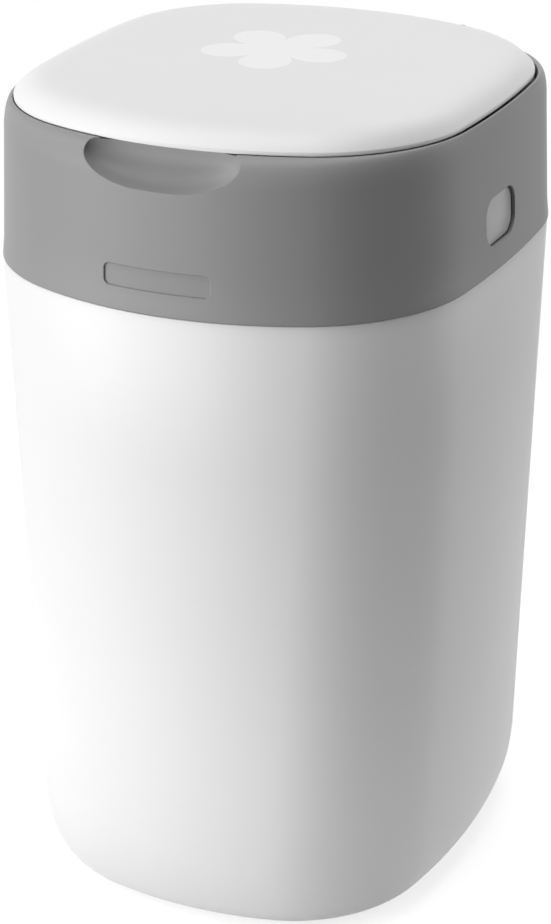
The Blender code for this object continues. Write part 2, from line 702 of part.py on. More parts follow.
def make_head_shell():
    shoulder_steps = 5
    rows = [(BIN, TUB_HEIGHT), (BIN.inset(HEAD_BAND_FLARE), TUB_HEIGHT + HEAD_BAND)]
    for step in range(shoulder_steps + 1):
        turn = math.pi / 2 * step / shoulder_steps
        rows.append((shoulder_outline(turn), SHOULDER_FOOT + SHOULDER_RISE * math.sin(turn)))
    shell = loft("head_shell", [section.ring(height) for section, height in rows], head_grey())

    # The inside, less the wall of the scoop
    straight = TUB_HEIGHT + HEAD_SKIRT_STRAIGHT
    drawn_in = BIN.inset(HEAD_WALL + HEAD_BAND_FLARE)
    rows = [(BIN.inset(HEAD_WALL), TUB_HEIGHT - OVERRUN), (BIN.inset(HEAD_WALL), straight),
            (drawn_in, straight + HEAD_BAND / 2), (SHOULDER.inset(HEAD_WALL), LEDGE_UNDERSIDE)]
    cavity = loft("head_cavity", [section.ring(height) for section, height in rows], head_grey())
    top = RIM_TOP + OVERRUN
    shape(cavity, scoop_bowl("scoop_wall", HEAD_WALL, top), "DIFFERENCE")
    shape(shell, cavity, "DIFFERENCE")

    # The lid's pocket, in which the scoop's wall stands, and the deck's hole
    pocket = loft("lid_pocket", [LID_OPENING.ring(POCKET_FLOOR), LID_OPENING.ring(top)],
                  head_grey())
    shape(pocket, scoop_bowl("scoop_stand", HEAD_WALL, RIM_TOP - SCOOP_WALL_BELOW_RIM),
          "DIFFERENCE")
    shape(shell, pocket, "DIFFERENCE")
    hole = LID.inset(LEDGE_WIDTH)
    shape(shell, loft("deck_hole", [hole.ring(LEDGE_UNDERSIDE - OVERRUN),
                                    hole.ring(POCKET_FLOOR + OVERRUN)],
                      head_grey()), "DIFFERENCE")

    # The head hinge's knuckle, and a block at each arm of the lid
    half = HEAD_KNUCKLE_WIDTH / 2
    shape(shell, bars("head_knuckle", [(head_knuckle_outline(), "X", -half, half)],
                      head_grey()), "UNION")
    blocks = []
    for start, end in lid_arm_spans():
        reach = RUNNING_GAP + LID_LUG_WIDTH
        blocks.append((lid_lug_outline(), "X", start - reach, end + reach))
    shape(shell, bars("lid_lugs", blocks, head_grey()), "UNION")

    # The scoop, the plate recess and the windows
    shape(shell, scoop_bowl("scoop", 0.0, top), "DIFFERENCE")
    shape(shell, plate_cutter(), "DIFFERENCE")
    half = BIN_WIDTH / 2
    windows = [(window_outline(0.0), "X", start, end)
               for start, end in ((half - BUTTON_TRAVEL - HEAD_WALL, half + OVERRUN),
                                  (-half - OVERRUN, -half + BUTTON_TRAVEL + HEAD_WALL))]
    shape(shell, bars("button_windows", windows, head_grey()), "DIFFERENCE")

    # Bores for the pins and the deck's screws
    head_bore = circle(HEAD_PIN_RADIUS + GAP, ROD_STEPS, HEAD_AXIS)
    half = HEAD_KNUCKLE_WIDTH / 2
    bores = [(head_bore, "X", -half - OVERRUN, half + OVERRUN)]
    lid_bore = circle(LID_PIN_RADIUS + GAP, ROD_STEPS, LID_AXIS)
    for start, end in lid_arm_spans():
        reach = RUNNING_GAP + LID_LUG_WIDTH + OVERRUN
        bores.append((lid_bore, "X", start - reach, end + reach))
    screw_top = FLANGE_UNDERSIDE + DECK_SCREW_LENGTH + GAP
    for place in deck_screw_places():
        bores.append((circle(SCREW_RADIUS + GAP, ROD_STEPS // 2, place), "Z",
                      LEDGE_UNDERSIDE - OVERRUN, screw_top))
    shape(shell, bars("head_bores", bores, head_grey()), "DIFFERENCE")

    # Slots for the lid's arms, which leave two lugs of each block
    slot_front = LID_AXIS[0] - LID_AXIS_BEHIND - LID_FRONT_BULGE - LEDGE_WIDTH
    slot_back = LID_AXIS[0] + LID_KNUCKLE_RADIUS + 2 * RUNNING_GAP
    slot_floor = POCKET_FLOOR - DECK_BELOW_POCKET + GAP
    slot_top = LID_AXIS[1] + LID_KNUCKLE_RADIUS + OVERRUN
    outline = [(slot_front, slot_floor), (slot_back, slot_floor), (slot_back, slot_top),
               (slot_front, slot_top)]
    slots = [(outline, "X", start - RUNNING_GAP, end + RUNNING_GAP)
             for start, end in lid_arm_spans()]
    shape(shell, bars("lid_arm_slots", slots, head_grey()), "DIFFERENCE")
    return shell


# Deck

def make_deck():
    flange = LID
    inner = LID.inset(LEDGE_WIDTH + GAP)
    land = inner.inset(DECK_RIM_LAND)
    land_radius = SEAL_RADIUS + SEAL_LAND_WIDTH / 2
    lip_radius = WELL_RADIUS + WELL_LIP
    outer_wall = WELL_RADIUS + WELL_WALL
    rings = [
        flange.ring(FLANGE_TOP), inner.ring(FLANGE_TOP), inner.ring(DECK_TOP),
        land.ring(DECK_TOP), land.round_ring(land_radius, SEAL_LAND),
        land.round_ring(lip_radius, SEAL_LAND),
        land.round_ring(WELL_RADIUS, SEAL_LAND - WELL_LIP),
        land.round_ring(WELL_RADIUS, WELL_FLOOR_TOP),
        land.round_ring(WELL_BORE, WELL_FLOOR_TOP),
        land.round_ring(WELL_BORE, WELL_UNDERSIDE),
        land.round_ring(outer_wall, WELL_UNDERSIDE),
        land.round_ring(outer_wall, FLANGE_UNDERSIDE - WELL_LIP),
        land.round_ring(outer_wall + WELL_LIP, FLANGE_UNDERSIDE),
        flange.ring(FLANGE_UNDERSIDE),
    ]
    deck = loft("head_deck", rings, deck_grey(), closed=True)

    # Seats and pegs for the button springs, on the outside of the well
    centre = (WINDOW_CENTRE_Y, WINDOW_HEIGHT_UP)
    seat = spring_seat()
    pieces = []
    for side in (1, -1):
        ends = sorted((side * (WELL_RADIUS + SINK / 2), side * seat))
        pieces.append((circle(SPRING_SEAT_RADIUS, ROD_STEPS, centre), "X", *ends))
    shape(deck, bars("spring_seats", pieces, deck_grey()), "UNION")
    pieces = []
    for side in (1, -1):
        ends = sorted((side * (seat - SINK), side * (seat + SPRING_SEAT_PEG)))
        pieces.append((circle(PEG_RADIUS, ROD_STEPS, centre), "X", *ends))
    shape(deck, bars("spring_pegs", pieces, deck_grey()), "UNION")

    # Room for the scoop's wall, and holes for both sets of screws
    shape(deck, scoop_bowl("scoop_clearance", HEAD_WALL + GAP, RIM_TOP), "DIFFERENCE")
    holes = []
    for place in deck_screw_places():
        holes.append((circle(SCREW_RADIUS + GAP, ROD_STEPS // 2, place), "Z",
                      FLANGE_UNDERSIDE - OVERRUN, FLANGE_TOP + OVERRUN))
    for place in gripper_screw_places():
        holes.append((circle(SCREW_RADIUS + GAP, ROD_STEPS // 2, place), "Z",
                      WELL_UNDERSIDE - OVERRUN, FRAME_UNDERSIDE + GRIPPER_SCREW_LENGTH + GAP))
    shape(deck, bars("deck_holes", holes, deck_grey()), "DIFFERENCE")
    return deck


def spring_seat():
    """X of the face that a button spring stands on."""
    return button_flange_face() - BUTTON_FLANGE - SPRING_LENGTH - 2 * GAP


def make_screws(name, places, underside, length):
    """Pan-head screws driven upwards, each a separate piece."""
    made = []
    head_foot = underside - GAP - SCREW_HEAD_HEIGHT
    for index, place in enumerate(places, start=1):
        steps = ROD_STEPS // 2
        profile = ((SCREW_HEAD_RADIUS * 0.8, head_foot),
                   (SCREW_HEAD_RADIUS, head_foot + SCREW_HEAD_HEIGHT / 2),
                   (SCREW_HEAD_RADIUS, underside - GAP),
                   (SCREW_RADIUS, underside - GAP),
                   (SCREW_RADIUS, underside + length - SCREW_RADIUS),
                   (SCREW_RADIUS / 2, underside + length))
        rings = [stand(circle(radius, steps, place), "Z", height) for radius, height in profile]
        made.append(loft(f"{name}_{index}", rings, steel()))
    return made


# Turning tray

def tooth_angles():
    """Angles of the ratchet's roots and tips, in turn."""
    pitch = 2 * math.pi / TEETH
    angles = []
    for tooth in range(TEETH):
        angles += [tooth * pitch, (tooth + TOOTH_TIP_SHARE) * pitch]
    return angles


def toothed_ring(root, tip, height):
    """A ring that steps from root radius to tip radius at each tooth."""
    points = []
    for index, angle in enumerate(tooth_angles()):
        radius = tip if index % 2 else root
        points.append(Vector((radius * math.cos(angle), radius * math.sin(angle), height)))
    return points


def make_tray():
    inner_wall = TRAY_BORE + TRAY_BORE_WALL
    outer_inside = TRAY_RADIUS - TRAY_WALL
    spigot = WELL_BORE - SPIGOT_GAP
    tip = TRAY_RADIUS + TOOTH_HEIGHT
    teeth_top = TEETH_FOOT + TOOTH_LENGTH
    rows = [
        (TRAY_BORE, TRAY_BORE, WELL_UNDERSIDE + RUNNING_GAP),
        (TRAY_BORE, TRAY_BORE, CASSETTE_TOP),
        (inner_wall, inner_wall, CASSETTE_TOP),
        (inner_wall, inner_wall, TRAY_FLOOR_TOP),
        (outer_inside, outer_inside, TRAY_FLOOR_TOP),
        (outer_inside, outer_inside, TRAY_TOP),
        (TRAY_RADIUS, TRAY_RADIUS, TRAY_TOP),
        (TRAY_RADIUS, TRAY_RADIUS, teeth_top + TOOTH_HEIGHT / 2),
        (TRAY_RADIUS, tip, teeth_top),
        (TRAY_RADIUS, tip, TEETH_FOOT),
        (TRAY_RADIUS, TRAY_RADIUS, TEETH_FOOT - TOOTH_HEIGHT / 2),
        (TRAY_RADIUS, TRAY_RADIUS, TRAY_UNDERSIDE),
        (spigot, spigot, TRAY_UNDERSIDE),
        (spigot, spigot, WELL_UNDERSIDE + RUNNING_GAP),
    ]
    return loft("cassette_tray", [toothed_ring(*row) for row in rows], deck_grey(), closed=True)


def scalloped_ring(radius, depth, height):
    """A ring whose radius waves in and out, a scallop for each finger."""
    points = []
    for x, y in circle(1.0, TURNED_STEPS + TURNED_STEPS // 2):
        wave = (1 - math.cos(RING_SCALLOPS * math.atan2(y, x))) / 2
        reach = radius + depth * wave
        points.append(Vector((x * reach, y * reach, height)))
    return points


def make_twist_ring():
    foot = TRAY_TOP + GAP
    top = foot + RING_HEIGHT
    skirt_foot = foot - RING_SKIRT
    skirt_inner = TRAY_RADIUS + 2 * GAP
    skirt_outer = skirt_inner + RING_SKIRT_WALL
    crest = (RING_OUTER_RADIUS + RING_INNER_RADIUS) / 2
    bevel = RING_HEIGHT / 3
    rows = [
        (RING_OUTER_RADIUS, 0.0, foot), (RING_OUTER_RADIUS, 0.0, top - 2 * bevel),
        (crest, RING_SCALLOP / 3, top), (RING_INNER_RADIUS, RING_SCALLOP, top - bevel),
        (RING_INNER_RADIUS, 0.0, foot),
        (skirt_inner, 0.0, foot), (skirt_inner, 0.0, skirt_foot),
        (skirt_outer, 0.0, skirt_foot), (skirt_outer, 0.0, foot),
    ]
    return loft("twist_ring", [scalloped_ring(*row) for row in rows], head_grey(), closed=True)


def make_pawl():
    """A leaf along the well's wall whose nose lies in a root of the ratchet."""
    inner = TRAY_RADIUS + TOOTH_HEIGHT + PAWL_CLEARANCE
    outer = inner + PAWL_THICKNESS
    wall = WELL_RADIUS - RUNNING_GAP - GAP
    nose = TRAY_RADIUS + PAWL_CLEARANCE
    pitch = 360.0 / TEETH
    root = PAWL_TOOTH * pitch
    back = root - (1 - TOOTH_TIP_SHARE) * pitch
    ahead = root + TOOTH_TIP_SHARE * pitch
    steps = 6
    end = root - PAWL_SPAN
    foot = end + PAWL_FOOT_SPAN
    centre = (0.0, 0.0)
    leaf = (arc(centre, nose, root, back, 1)[:1] + arc(centre, inner, back, end, steps)
            + arc(centre, outer, end, ahead, steps) + arc(centre, inner, ahead, root, 1)[:1])
    foot_outline = arc(centre, inner, foot, end, 1) + arc(centre, wall, end, foot, 1)
    leaf_foot = TEETH_FOOT + (TOOTH_LENGTH - PAWL_HEIGHT) / 2
    pawl = bars("click_pawl", [(leaf, "Z", leaf_foot, leaf_foot + PAWL_HEIGHT)], steel())
    shape(pawl, bars("pawl_foot", [(foot_outline, "Z", WELL_FLOOR_TOP + GAP,
                                    leaf_foot + PAWL_HEIGHT - SINK)], steel()), "UNION")
    return pawl


# Refill

def make_refill():
    bore = TRAY_BORE + TRAY_BORE_WALL + RUNNING_GAP
    film_wall = bore + CASSETTE_WALL
    outer_inside = CASSETTE_RADIUS - CASSETTE_WALL
    floor_top = CASSETTE_UNDERSIDE + CASSETTE_WALL
    body = turned("cassette_body", (
        (bore, CASSETTE_UNDERSIDE), (bore, CASSETTE_TOP), (film_wall, CASSETTE_TOP),
        (film_wall, floor_top), (outer_inside, floor_top), (outer_inside, CASSETTE_TOP),
        (CASSETTE_RADIUS, CASSETTE_TOP), (CASSETTE_RADIUS, CASSETTE_UNDERSIDE)),
        cassette_white())

    # Film folded in pleats, one above the other
    inner, outer = film_wall + FILM_CLEARANCE, outer_inside - FILM_CLEARANCE
    foot = floor_top + GAP
    pitch = FILM_HEIGHT / FILM_PLEATS
    rising, falling = [], []
    for pleat in range(FILM_PLEATS):
        height = foot + pleat * pitch
        rising += [(inner + FILM_PLEAT_DEPTH, height), (inner, height + pitch / 2)]
        falling += [(outer - FILM_PLEAT_DEPTH, height), (outer, height + pitch / 2)]
    top = foot + FILM_HEIGHT
    profile = (rising + [(inner + FILM_PLEAT_DEPTH, top), (outer - FILM_PLEAT_DEPTH, top)]
               + list(reversed(falling)))
    turned("film_pack", profile, film_blue(), steps=FILM_STEPS)

    cap_foot = CASSETTE_TOP + GAP
    slot = film_wall + CAP_SLOT
    cap = turned("cassette_cap", (
        (slot, cap_foot - CAP_THICKNESS), (slot, cap_foot + CAP_RISE / 2),
        (slot + CAP_RISE, cap_foot + CAP_RISE),
        (CASSETTE_RADIUS - CAP_RISE, cap_foot + CAP_RISE), (CASSETTE_RADIUS, cap_foot),
        (CASSETTE_RADIUS - CASSETTE_WALL - GAP, cap_foot),
        (outer_inside - CAP_RISE, cap_foot + CAP_RISE - CAP_THICKNESS),
        (slot + CAP_RISE, cap_foot + CAP_RISE - CAP_THICKNESS),
        (slot + CAP_THICKNESS, cap_foot - CAP_THICKNESS)), cassette_white())
    return body, cap


# Gripper and film cutter

def gripper_screw_places():
    """Screws of the gripper's frame, on a circle."""
    return circle_places(GRIPPER_SCREW_CIRCLE)


def circle_places(radius):
    reach = radius * math.sqrt(0.5)
    return [(reach, reach), (-reach, reach), (-reach, -reach), (reach, -reach)]


def make_gripper():
    step_radius = GRIP_RIM_RADIUS + GAP
    rim_foot = FRAME_TOP - GRIP_RIM_THICKNESS
    frame = turned("gripper_frame", (
        (FRAME_INNER_RADIUS, FRAME_UNDERSIDE), (FRAME_INNER_RADIUS, rim_foot - GAP),
        (step_radius, rim_foot - GAP), (step_radius, FRAME_TOP),
        (FRAME_OUTER_RADIUS, FRAME_TOP), (FRAME_OUTER_RADIUS, FRAME_UNDERSIDE)), deck_grey())
    holes = [(circle(SCREW_RADIUS + GAP, ROD_STEPS // 2, place), "Z",
              FRAME_UNDERSIDE - OVERRUN, FRAME_TOP + OVERRUN)
             for place in gripper_screw_places()]
    shape(frame, bars("frame_holes", holes, deck_grey()), "DIFFERENCE")

    # Fingers: a soft cone that hangs from its clamped rim, slit into fingers
    mouth_height = FRAME_TOP - GRIP_DROP
    bend = (GRIP_RIM_INNER + GRIP_MOUTH_RADIUS) / 2
    bend_height = (rim_foot + mouth_height) / 2 - GRIP_RIM_THICKNESS
    fingers = turned("gripper_fingers", (
        (GRIP_RIM_RADIUS, FRAME_TOP), (GRIP_RIM_INNER, FRAME_TOP),
        (bend, bend_height + GRIP_THICKNESS), (GRIP_MOUTH_RADIUS, mouth_height),
        (GRIP_MOUTH_RADIUS, mouth_height - GRIP_THICKNESS), (bend, bend_height),
        (GRIP_RIM_INNER, rim_foot), (GRIP_RIM_RADIUS, rim_foot)), soft_grey())
    slits = []
    inner, outer = GRIP_MOUTH_RADIUS - OVERRUN, GRIP_RIM_INNER - GRIP_SLIT
    foot, top = mouth_height - GRIP_DROP, FRAME_TOP + OVERRUN
    for finger in range(GRIP_FINGERS):
        turn = 2 * math.pi * (finger + 0.5) / GRIP_FINGERS
        ahead = Vector((math.cos(turn), math.sin(turn)))
        aside = Vector((-ahead.y, ahead.x)) * GRIP_SLIT / 2
        corners = (ahead * inner - aside, ahead * outer - aside,
                   ahead * outer + aside, ahead * inner + aside)
        slits.append(([tuple(corner) for corner in corners], "Z", foot, top))
    shape(fingers, bars("finger_slits", slits, soft_grey()), "DIFFERENCE")

    # Cutter: a V notch with a blade across its root, under the front of the frame
    top = FRAME_UNDERSIDE - GAP
    foot = top - CUTTER_HEIGHT
    back = -FRAME_INNER_RADIUS
    front = back - CUTTER_LENGTH
    half = CUTTER_WIDTH / 2
    body = [(-half, back), (-half, front), (half, front), (half, back),
            (CUTTER_MOUTH / 2, back), (BLADE_THICKNESS, back - CUTTER_NOTCH),
            (-BLADE_THICKNESS, back - CUTTER_NOTCH), (-CUTTER_MOUTH / 2, back)]
    housing = bars("cutter_housing", [(body, "Z", foot, top)], head_grey())
    middle = (foot + top) / 2
    blade_front = back - CUTTER_NOTCH - BLADE_LENGTH / 2
    blade_back = blade_front + BLADE_LENGTH
    blade = [(-BLADE_WIDTH / 2, blade_front), (BLADE_WIDTH / 2, blade_front),
             (BLADE_WIDTH / 2, blade_back), (-BLADE_WIDTH / 2, blade_back)]
    slot_half = BLADE_WIDTH / 2 + GAP
    slot = [(-slot_half, blade_front - GAP), (slot_half, blade_front - GAP),
            (slot_half, blade_back + GAP), (-slot_half, blade_back + GAP)]
    shape(housing, bars("blade_slot", [(slot, "Z", middle - BLADE_THICKNESS / 2 - GAP,
                                        middle + BLADE_THICKNESS / 2 + GAP)], head_grey()),
          "DIFFERENCE")
    bars("cutter_blade", [(blade, "Z", middle - BLADE_THICKNESS / 2,
                           middle + BLADE_THICKNESS / 2)], steel())
    return frame, fingers, housing


# Lid

def dome_row(share, depth=0.0):
    """A section of the lid's domed top, at a share of the way in, or of the face under it."""
    height = LID_SHOULDER + LID_DOME_RISE * (1 - (1 - share) ** 3)
    return LID.inset(LID_DOME_REACH * share), height - depth


def make_lid_cover():
    dome_shares = (0.0, 0.1, 0.25, 0.45, 0.7, 1.0)
    inner_shares = (0.2, 0.5, 1.0)
    crown_shares = (0.5,)
    outer = [(LID, LID_FOOT)] + [dome_row(share) for share in dome_shares]
    top_section, top_height = outer[-1]
    rings = [section.ring(height) for section, height in outer]
    rings += crown_rings(top_section, top_height, crown_shares)
    inner = [(LID.inset(LID_WALL), LID_FOOT), (LID.inset(LID_WALL), LID_SHOULDER)]
    inner += [dome_row(share, LID_WALL) for share in inner_shares]
    inside = [section.ring(height) for section, height in inner]
    return loft("lid_cover", list(reversed(inside)) + rings, lid_white())


def crown_rings(edge, height, shares):
    """Rings of the gentle crown inside an edge, shrinking to its middle."""
    rings = []
    middle = Vector((0.0, edge.centre_y, height))
    for share in shares:
        lift = LID_CROWN * (1 - share ** 2)
        ring = []
        for point in edge.ring(height):
            spot = middle + (point - middle) * share
            spot.z += lift
            ring.append(spot)
        rings.append(ring)
    return rings


def arm_outline():
    """A lid arm from the side: under the skirt, then up to its barrel, as (y, z)."""
    axis_y, axis_z = LID_AXIS
    under = POCKET_FLOOR - DECK_BELOW_POCKET + 2 * GAP
    top = under + LID_ARM_THICKNESS
    rear_edge = LID.back_face(0.0)
    root_back = liner_edge().back_face(LID_ARM_PLACE + LID_ARM_WIDTH / 2) - SINK
    liner_foot = LINER_FOOT + SINK
    barrel = arc(LID_AXIS, LID_KNUCKLE_RADIUS, -105, 165, ROD_STEPS)
    rise = rear_edge - LID_ARM_THICKNESS
    return ([(root_back - LID_ARM_ROOT, under), (rear_edge, under)] + barrel
            + [(rise, top), (root_back, top), (root_back, liner_foot),
               (root_back - LID_ARM_ROOT, liner_foot)])


def liner_edge():
    """The outline of the liner's upright wall, behind the scoop."""
    return LID.inset(LINER_INSET)


def make_lid_liner():
    edge = liner_edge()
    inside = edge.inset(LINER_THICKNESS)
    flange = LID.inset(LID_WALL + LINER_GAP)
    foot = LINER_FOOT
    flange_top = LID_FOOT + LINER_FLANGE
    liner = loft("lid_liner", [
        edge.ring(foot), edge.ring(LID_FOOT), flange.ring(LID_FOOT), flange.ring(flange_top),
        inside.ring(flange_top), inside.ring(foot + LINER_THICKNESS)], lid_white())
    arms = [(arm_outline(), "X", start, end) for start, end in lid_arm_spans()]
    shape(liner, bars("lid_arms", arms, lid_white()), "UNION")
    bore = circle(LID_PIN_RADIUS + GAP, ROD_STEPS, LID_AXIS)
    bores = [(bore, "X", start - OVERRUN, end + OVERRUN) for start, end in lid_arm_spans()]
    shape(liner, bars("lid_arm_bores", bores, lid_white()), "DIFFERENCE")
    root = SEAL_ROOT_WIDTH / 2 + GAP
    groove_top = foot + SEAL_ROOT_HEIGHT + GAP
    groove = turned("seal_groove", (
        (SEAL_RADIUS - root, foot - OVERRUN), (SEAL_RADIUS - root, groove_top),
        (SEAL_RADIUS + root, groove_top), (SEAL_RADIUS + root, foot - OVERRUN)), lid_white())
    shape(liner, groove, "DIFFERENCE")

    root = SEAL_ROOT_WIDTH / 2
    half = SEAL_WIDTH / 2
    bulb_foot = SEAL_LAND + GAP
    shoulder = foot - GAP
    turned("lid_seal", (
        (SEAL_RADIUS - root, foot + SEAL_ROOT_HEIGHT),
        (SEAL_RADIUS + root, foot + SEAL_ROOT_HEIGHT),
        (SEAL_RADIUS + root, shoulder), (SEAL_RADIUS + half, shoulder - half / 2),
        (SEAL_RADIUS, bulb_foot), (SEAL_RADIUS - half, shoulder - half / 2),
        (SEAL_RADIUS - root, shoulder)), soft_grey())

    pin = circle(LID_PIN_RADIUS, ROD_STEPS, LID_AXIS)
    for side, (start, end) in zip(("left", "right"), lid_arm_spans()):
        reach = RUNNING_GAP + LID_LUG_WIDTH
        bars(f"lid_hinge_pin_{side}", [(pin, "X", start - reach, end + reach)], steel())
    return liner


# Release buttons

def button_flange_face():
    """X of the button flange's outer face, just inside the head's wall."""
    lower, upper = TUB_HEIGHT + HEAD_SKIRT_STRAIGHT + HEAD_BAND / 2, LEDGE_UNDERSIDE
    share = (WINDOW_HEIGHT_UP + WINDOW_HEIGHT / 2 - lower) / (upper - lower)
    draw = HEAD_BAND_FLARE + (HEAD_DRAFT - HEAD_BAND_FLARE) * share
    bulge = BIN_SIDE_BULGE * ((abs(WINDOW_CENTRE_Y) + WINDOW_WIDTH / 2 + BUTTON_FLANGE)
                              / (BIN_DEPTH / 2 - BIN_FRONT_BULGE - BIN_CORNER)) ** 2
    return BIN_WIDTH / 2 - HEAD_WALL - draw - bulge - GAP


def button_cap_face():
    """X of the button's outer face, set back in the window."""
    lower = TUB_HEIGHT + HEAD_BAND
    share = (WINDOW_HEIGHT_UP - lower) / (SHOULDER_FOOT - lower)
    draw = HEAD_BAND_FLARE + (HEAD_DRAFT - HEAD_BAND_FLARE) * share
    return BIN_WIDTH / 2 - draw - BUTTON_RECESS


def make_button(name, side):
    """A button with its flange, spring peg and latch hook; side is 1 right, -1 left."""
    flange = button_flange_face()
    back = flange - BUTTON_FLANGE

    def across(*ends):
        return sorted(side * end for end in ends)

    cap_outline = window_outline(-BUTTON_GAP)
    small = rounded_rectangle(WINDOW_WIDTH - 4 * BUTTON_GAP, WINDOW_HEIGHT - 4 * BUTTON_GAP,
                              WINDOW_CORNER - 2 * BUTTON_GAP,
                              (WINDOW_CENTRE_Y, WINDOW_HEIGHT_UP), 3)
    face = button_cap_face()
    rings = [stand(cap_outline, "X", side * (flange - SINK)),
             stand(cap_outline, "X", side * (face - BUTTON_GAP / 2)),
             stand(small, "X", side * face)]
    button = loft(name, rings, button_grey())
    outline = window_outline(BUTTON_FLANGE)
    shape(button, bars(f"{name}_flange", [(outline, "X", *across(back, flange))],
                       button_grey()), "UNION")
    peg = circle(PEG_RADIUS, ROD_STEPS, (WINDOW_CENTRE_Y, WINDOW_HEIGHT_UP))
    shape(button, bars(f"{name}_peg", [(peg, "X", *across(back + SINK, back - BUTTON_PEG_LENGTH))],
                       button_grey()), "UNION")

    # The hook hangs inside the tub's lip, its barb drawn back clear of the keeper
    lip_inner = BIN_WIDTH / 2 - HEAD_WALL - LIP_CLEARANCE - LIP_DRAFT - LIP_WALL
    barb = lip_inner - KEEPER_REACH - GAP
    arm_outer = barb - HOOK_BARB
    arm_inner = arm_outer - HOOK_THICKNESS
    keeper_foot = LIP_TOP - KEEPER_DROP - KEEPER_HEIGHT
    foot = keeper_foot - HOOK_BARB_HEIGHT
    bridge = LIP_TOP + HOOK_BRIDGE
    profile = [(arm_inner, foot), (arm_outer, foot), (barb, keeper_foot - GAP - HOOK_BARB),
               (barb, keeper_foot - GAP), (arm_outer, keeper_foot - GAP), (arm_outer, bridge),
               (back + SINK, bridge), (back + SINK, bridge + HOOK_BRIDGE),
               (arm_inner, bridge + HOOK_BRIDGE)]
    hook = [(side * x, z) for x, z in profile]
    start = WINDOW_CENTRE_Y - HOOK_WIDTH / 2
    shape(button, bars(f"{name}_hook", [(hook, "Y", start, start + HOOK_WIDTH)],
                       button_grey()), "UNION")
    return button


def spring_points(start, end):
    """Points along a button spring's wire: a straight end, the curls, a straight end."""
    first, last = start + SPRING_WIRE, end - SPRING_WIRE
    total = SPRING_TURNS * CURL_POINTS
    points = [(start, 0.0)]
    for step in range(total + 1):
        points.append((first + (last - first) * step / total, 2 * math.pi * step / CURL_POINTS))
    points.append((end, points[-1][1]))
    return [Vector((x, WINDOW_CENTRE_Y + SPRING_RADIUS * math.cos(turn),
                    WINDOW_HEIGHT_UP + SPRING_RADIUS * math.sin(turn))) for x, turn in points]


def least_gap(points, wire):
    """The least distance between stretches of a wire that lie more than a half curl apart."""
    apart = CURL_POINTS // 2 + 1
    least = math.inf
    for index, one in enumerate(points):
        for other in points[index + apart:]:
            least = min(least, (one - other).length)
    return least - wire


def make_spring(name, side):
    start = spring_seat() + GAP
    end = button_flange_face() - BUTTON_FLANGE - GAP
    points = spring_points(start, end)
    print(f"{name}: least gap between curls {least_gap(points, SPRING_WIRE) * 1000:.2f} mm")
    curve = bpy.data.curves.new(name, "CURVE")
    curve.dimensions = "3D"
    curve.bevel_depth = SPRING_WIRE / 2
    curve.bevel_resolution = 1
    curve.use_fill_caps = True
    spline = curve.splines.new("POLY")
    spline.points.add(len(points) - 1)
    for spot, point in zip(spline.points, points):
        spot.co = (side * point.x, point.y, point.z, 1.0)
    curve.materials.append(steel())
    made = bpy.data.objects.new(name, curve)
    bpy.context.scene.collection.objects.link(made)
    return made


def carry(parent, names):
    """Carry named pieces on a joint's empty."""
    for name in names:
        place_on(bpy.data.objects[name], parent)


def main():
    for old in list(bpy.data.objects):
        bpy.data.objects.remove(old, do_unlink=True)

    make_tub()
    make_head_shell()
    make_deck()
    deck_screws = make_screws("deck_screw", deck_screw_places(), FLANGE_UNDERSIDE,
                              DECK_SCREW_LENGTH)
    make_gripper()
    gripper_screws = make_screws("gripper_screw", gripper_screw_places(), FRAME_UNDERSIDE,
                                 GRIPPER_SCREW_LENGTH)
    make_pawl()
    make_tray()
    make_twist_ring()
    make_refill()
    make_lid_cover()
    make_lid_liner()
    for side, sign in (("right", 1), ("left", -1)):
        make_button(f"release_button_{side}", sign)
        make_spring(f"button_spring_{side}", sign)

    # Each moving group hangs on an empty that stands on its joint's axis
    head = joint_empty("head_hinge_axis", (0.0, *HEAD_AXIS))
    lid = joint_empty("lid_hinge_axis", (0.0, *LID_AXIS), head)
    twist = joint_empty("twist_axis", (0.0, 0.0, WELL_FLOOR_TOP), head)
    carry(head, ["head_shell", "head_deck", "gripper_frame", "gripper_fingers", "cutter_housing",
                 "cutter_blade", "click_pawl", "lid_hinge_pin_left", "lid_hinge_pin_right",
                 "button_spring_left", "button_spring_right"])
    carry(head, [screw.name for screw in deck_screws + gripper_screws])
    carry(lid, ["lid_cover", "lid_liner", "lid_seal"])
    carry(twist, ["cassette_tray", "twist_ring", "cassette_body", "film_pack", "cassette_cap"])
    for side, sign in (("right", 1), ("left", -1)):
        push = joint_empty(f"button_{side}_axis",
                           (sign * button_cap_face(), WINDOW_CENTRE_Y, WINDOW_HEIGHT_UP), head)
        carry(push, [f"release_button_{side}"])


main()
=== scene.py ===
"""A nappy bin with a twist-wrap head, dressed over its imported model. Sizes are in millimetres."""
import math

import bmesh
import bpy
from mathutils import Matrix, Quaternion, Vector


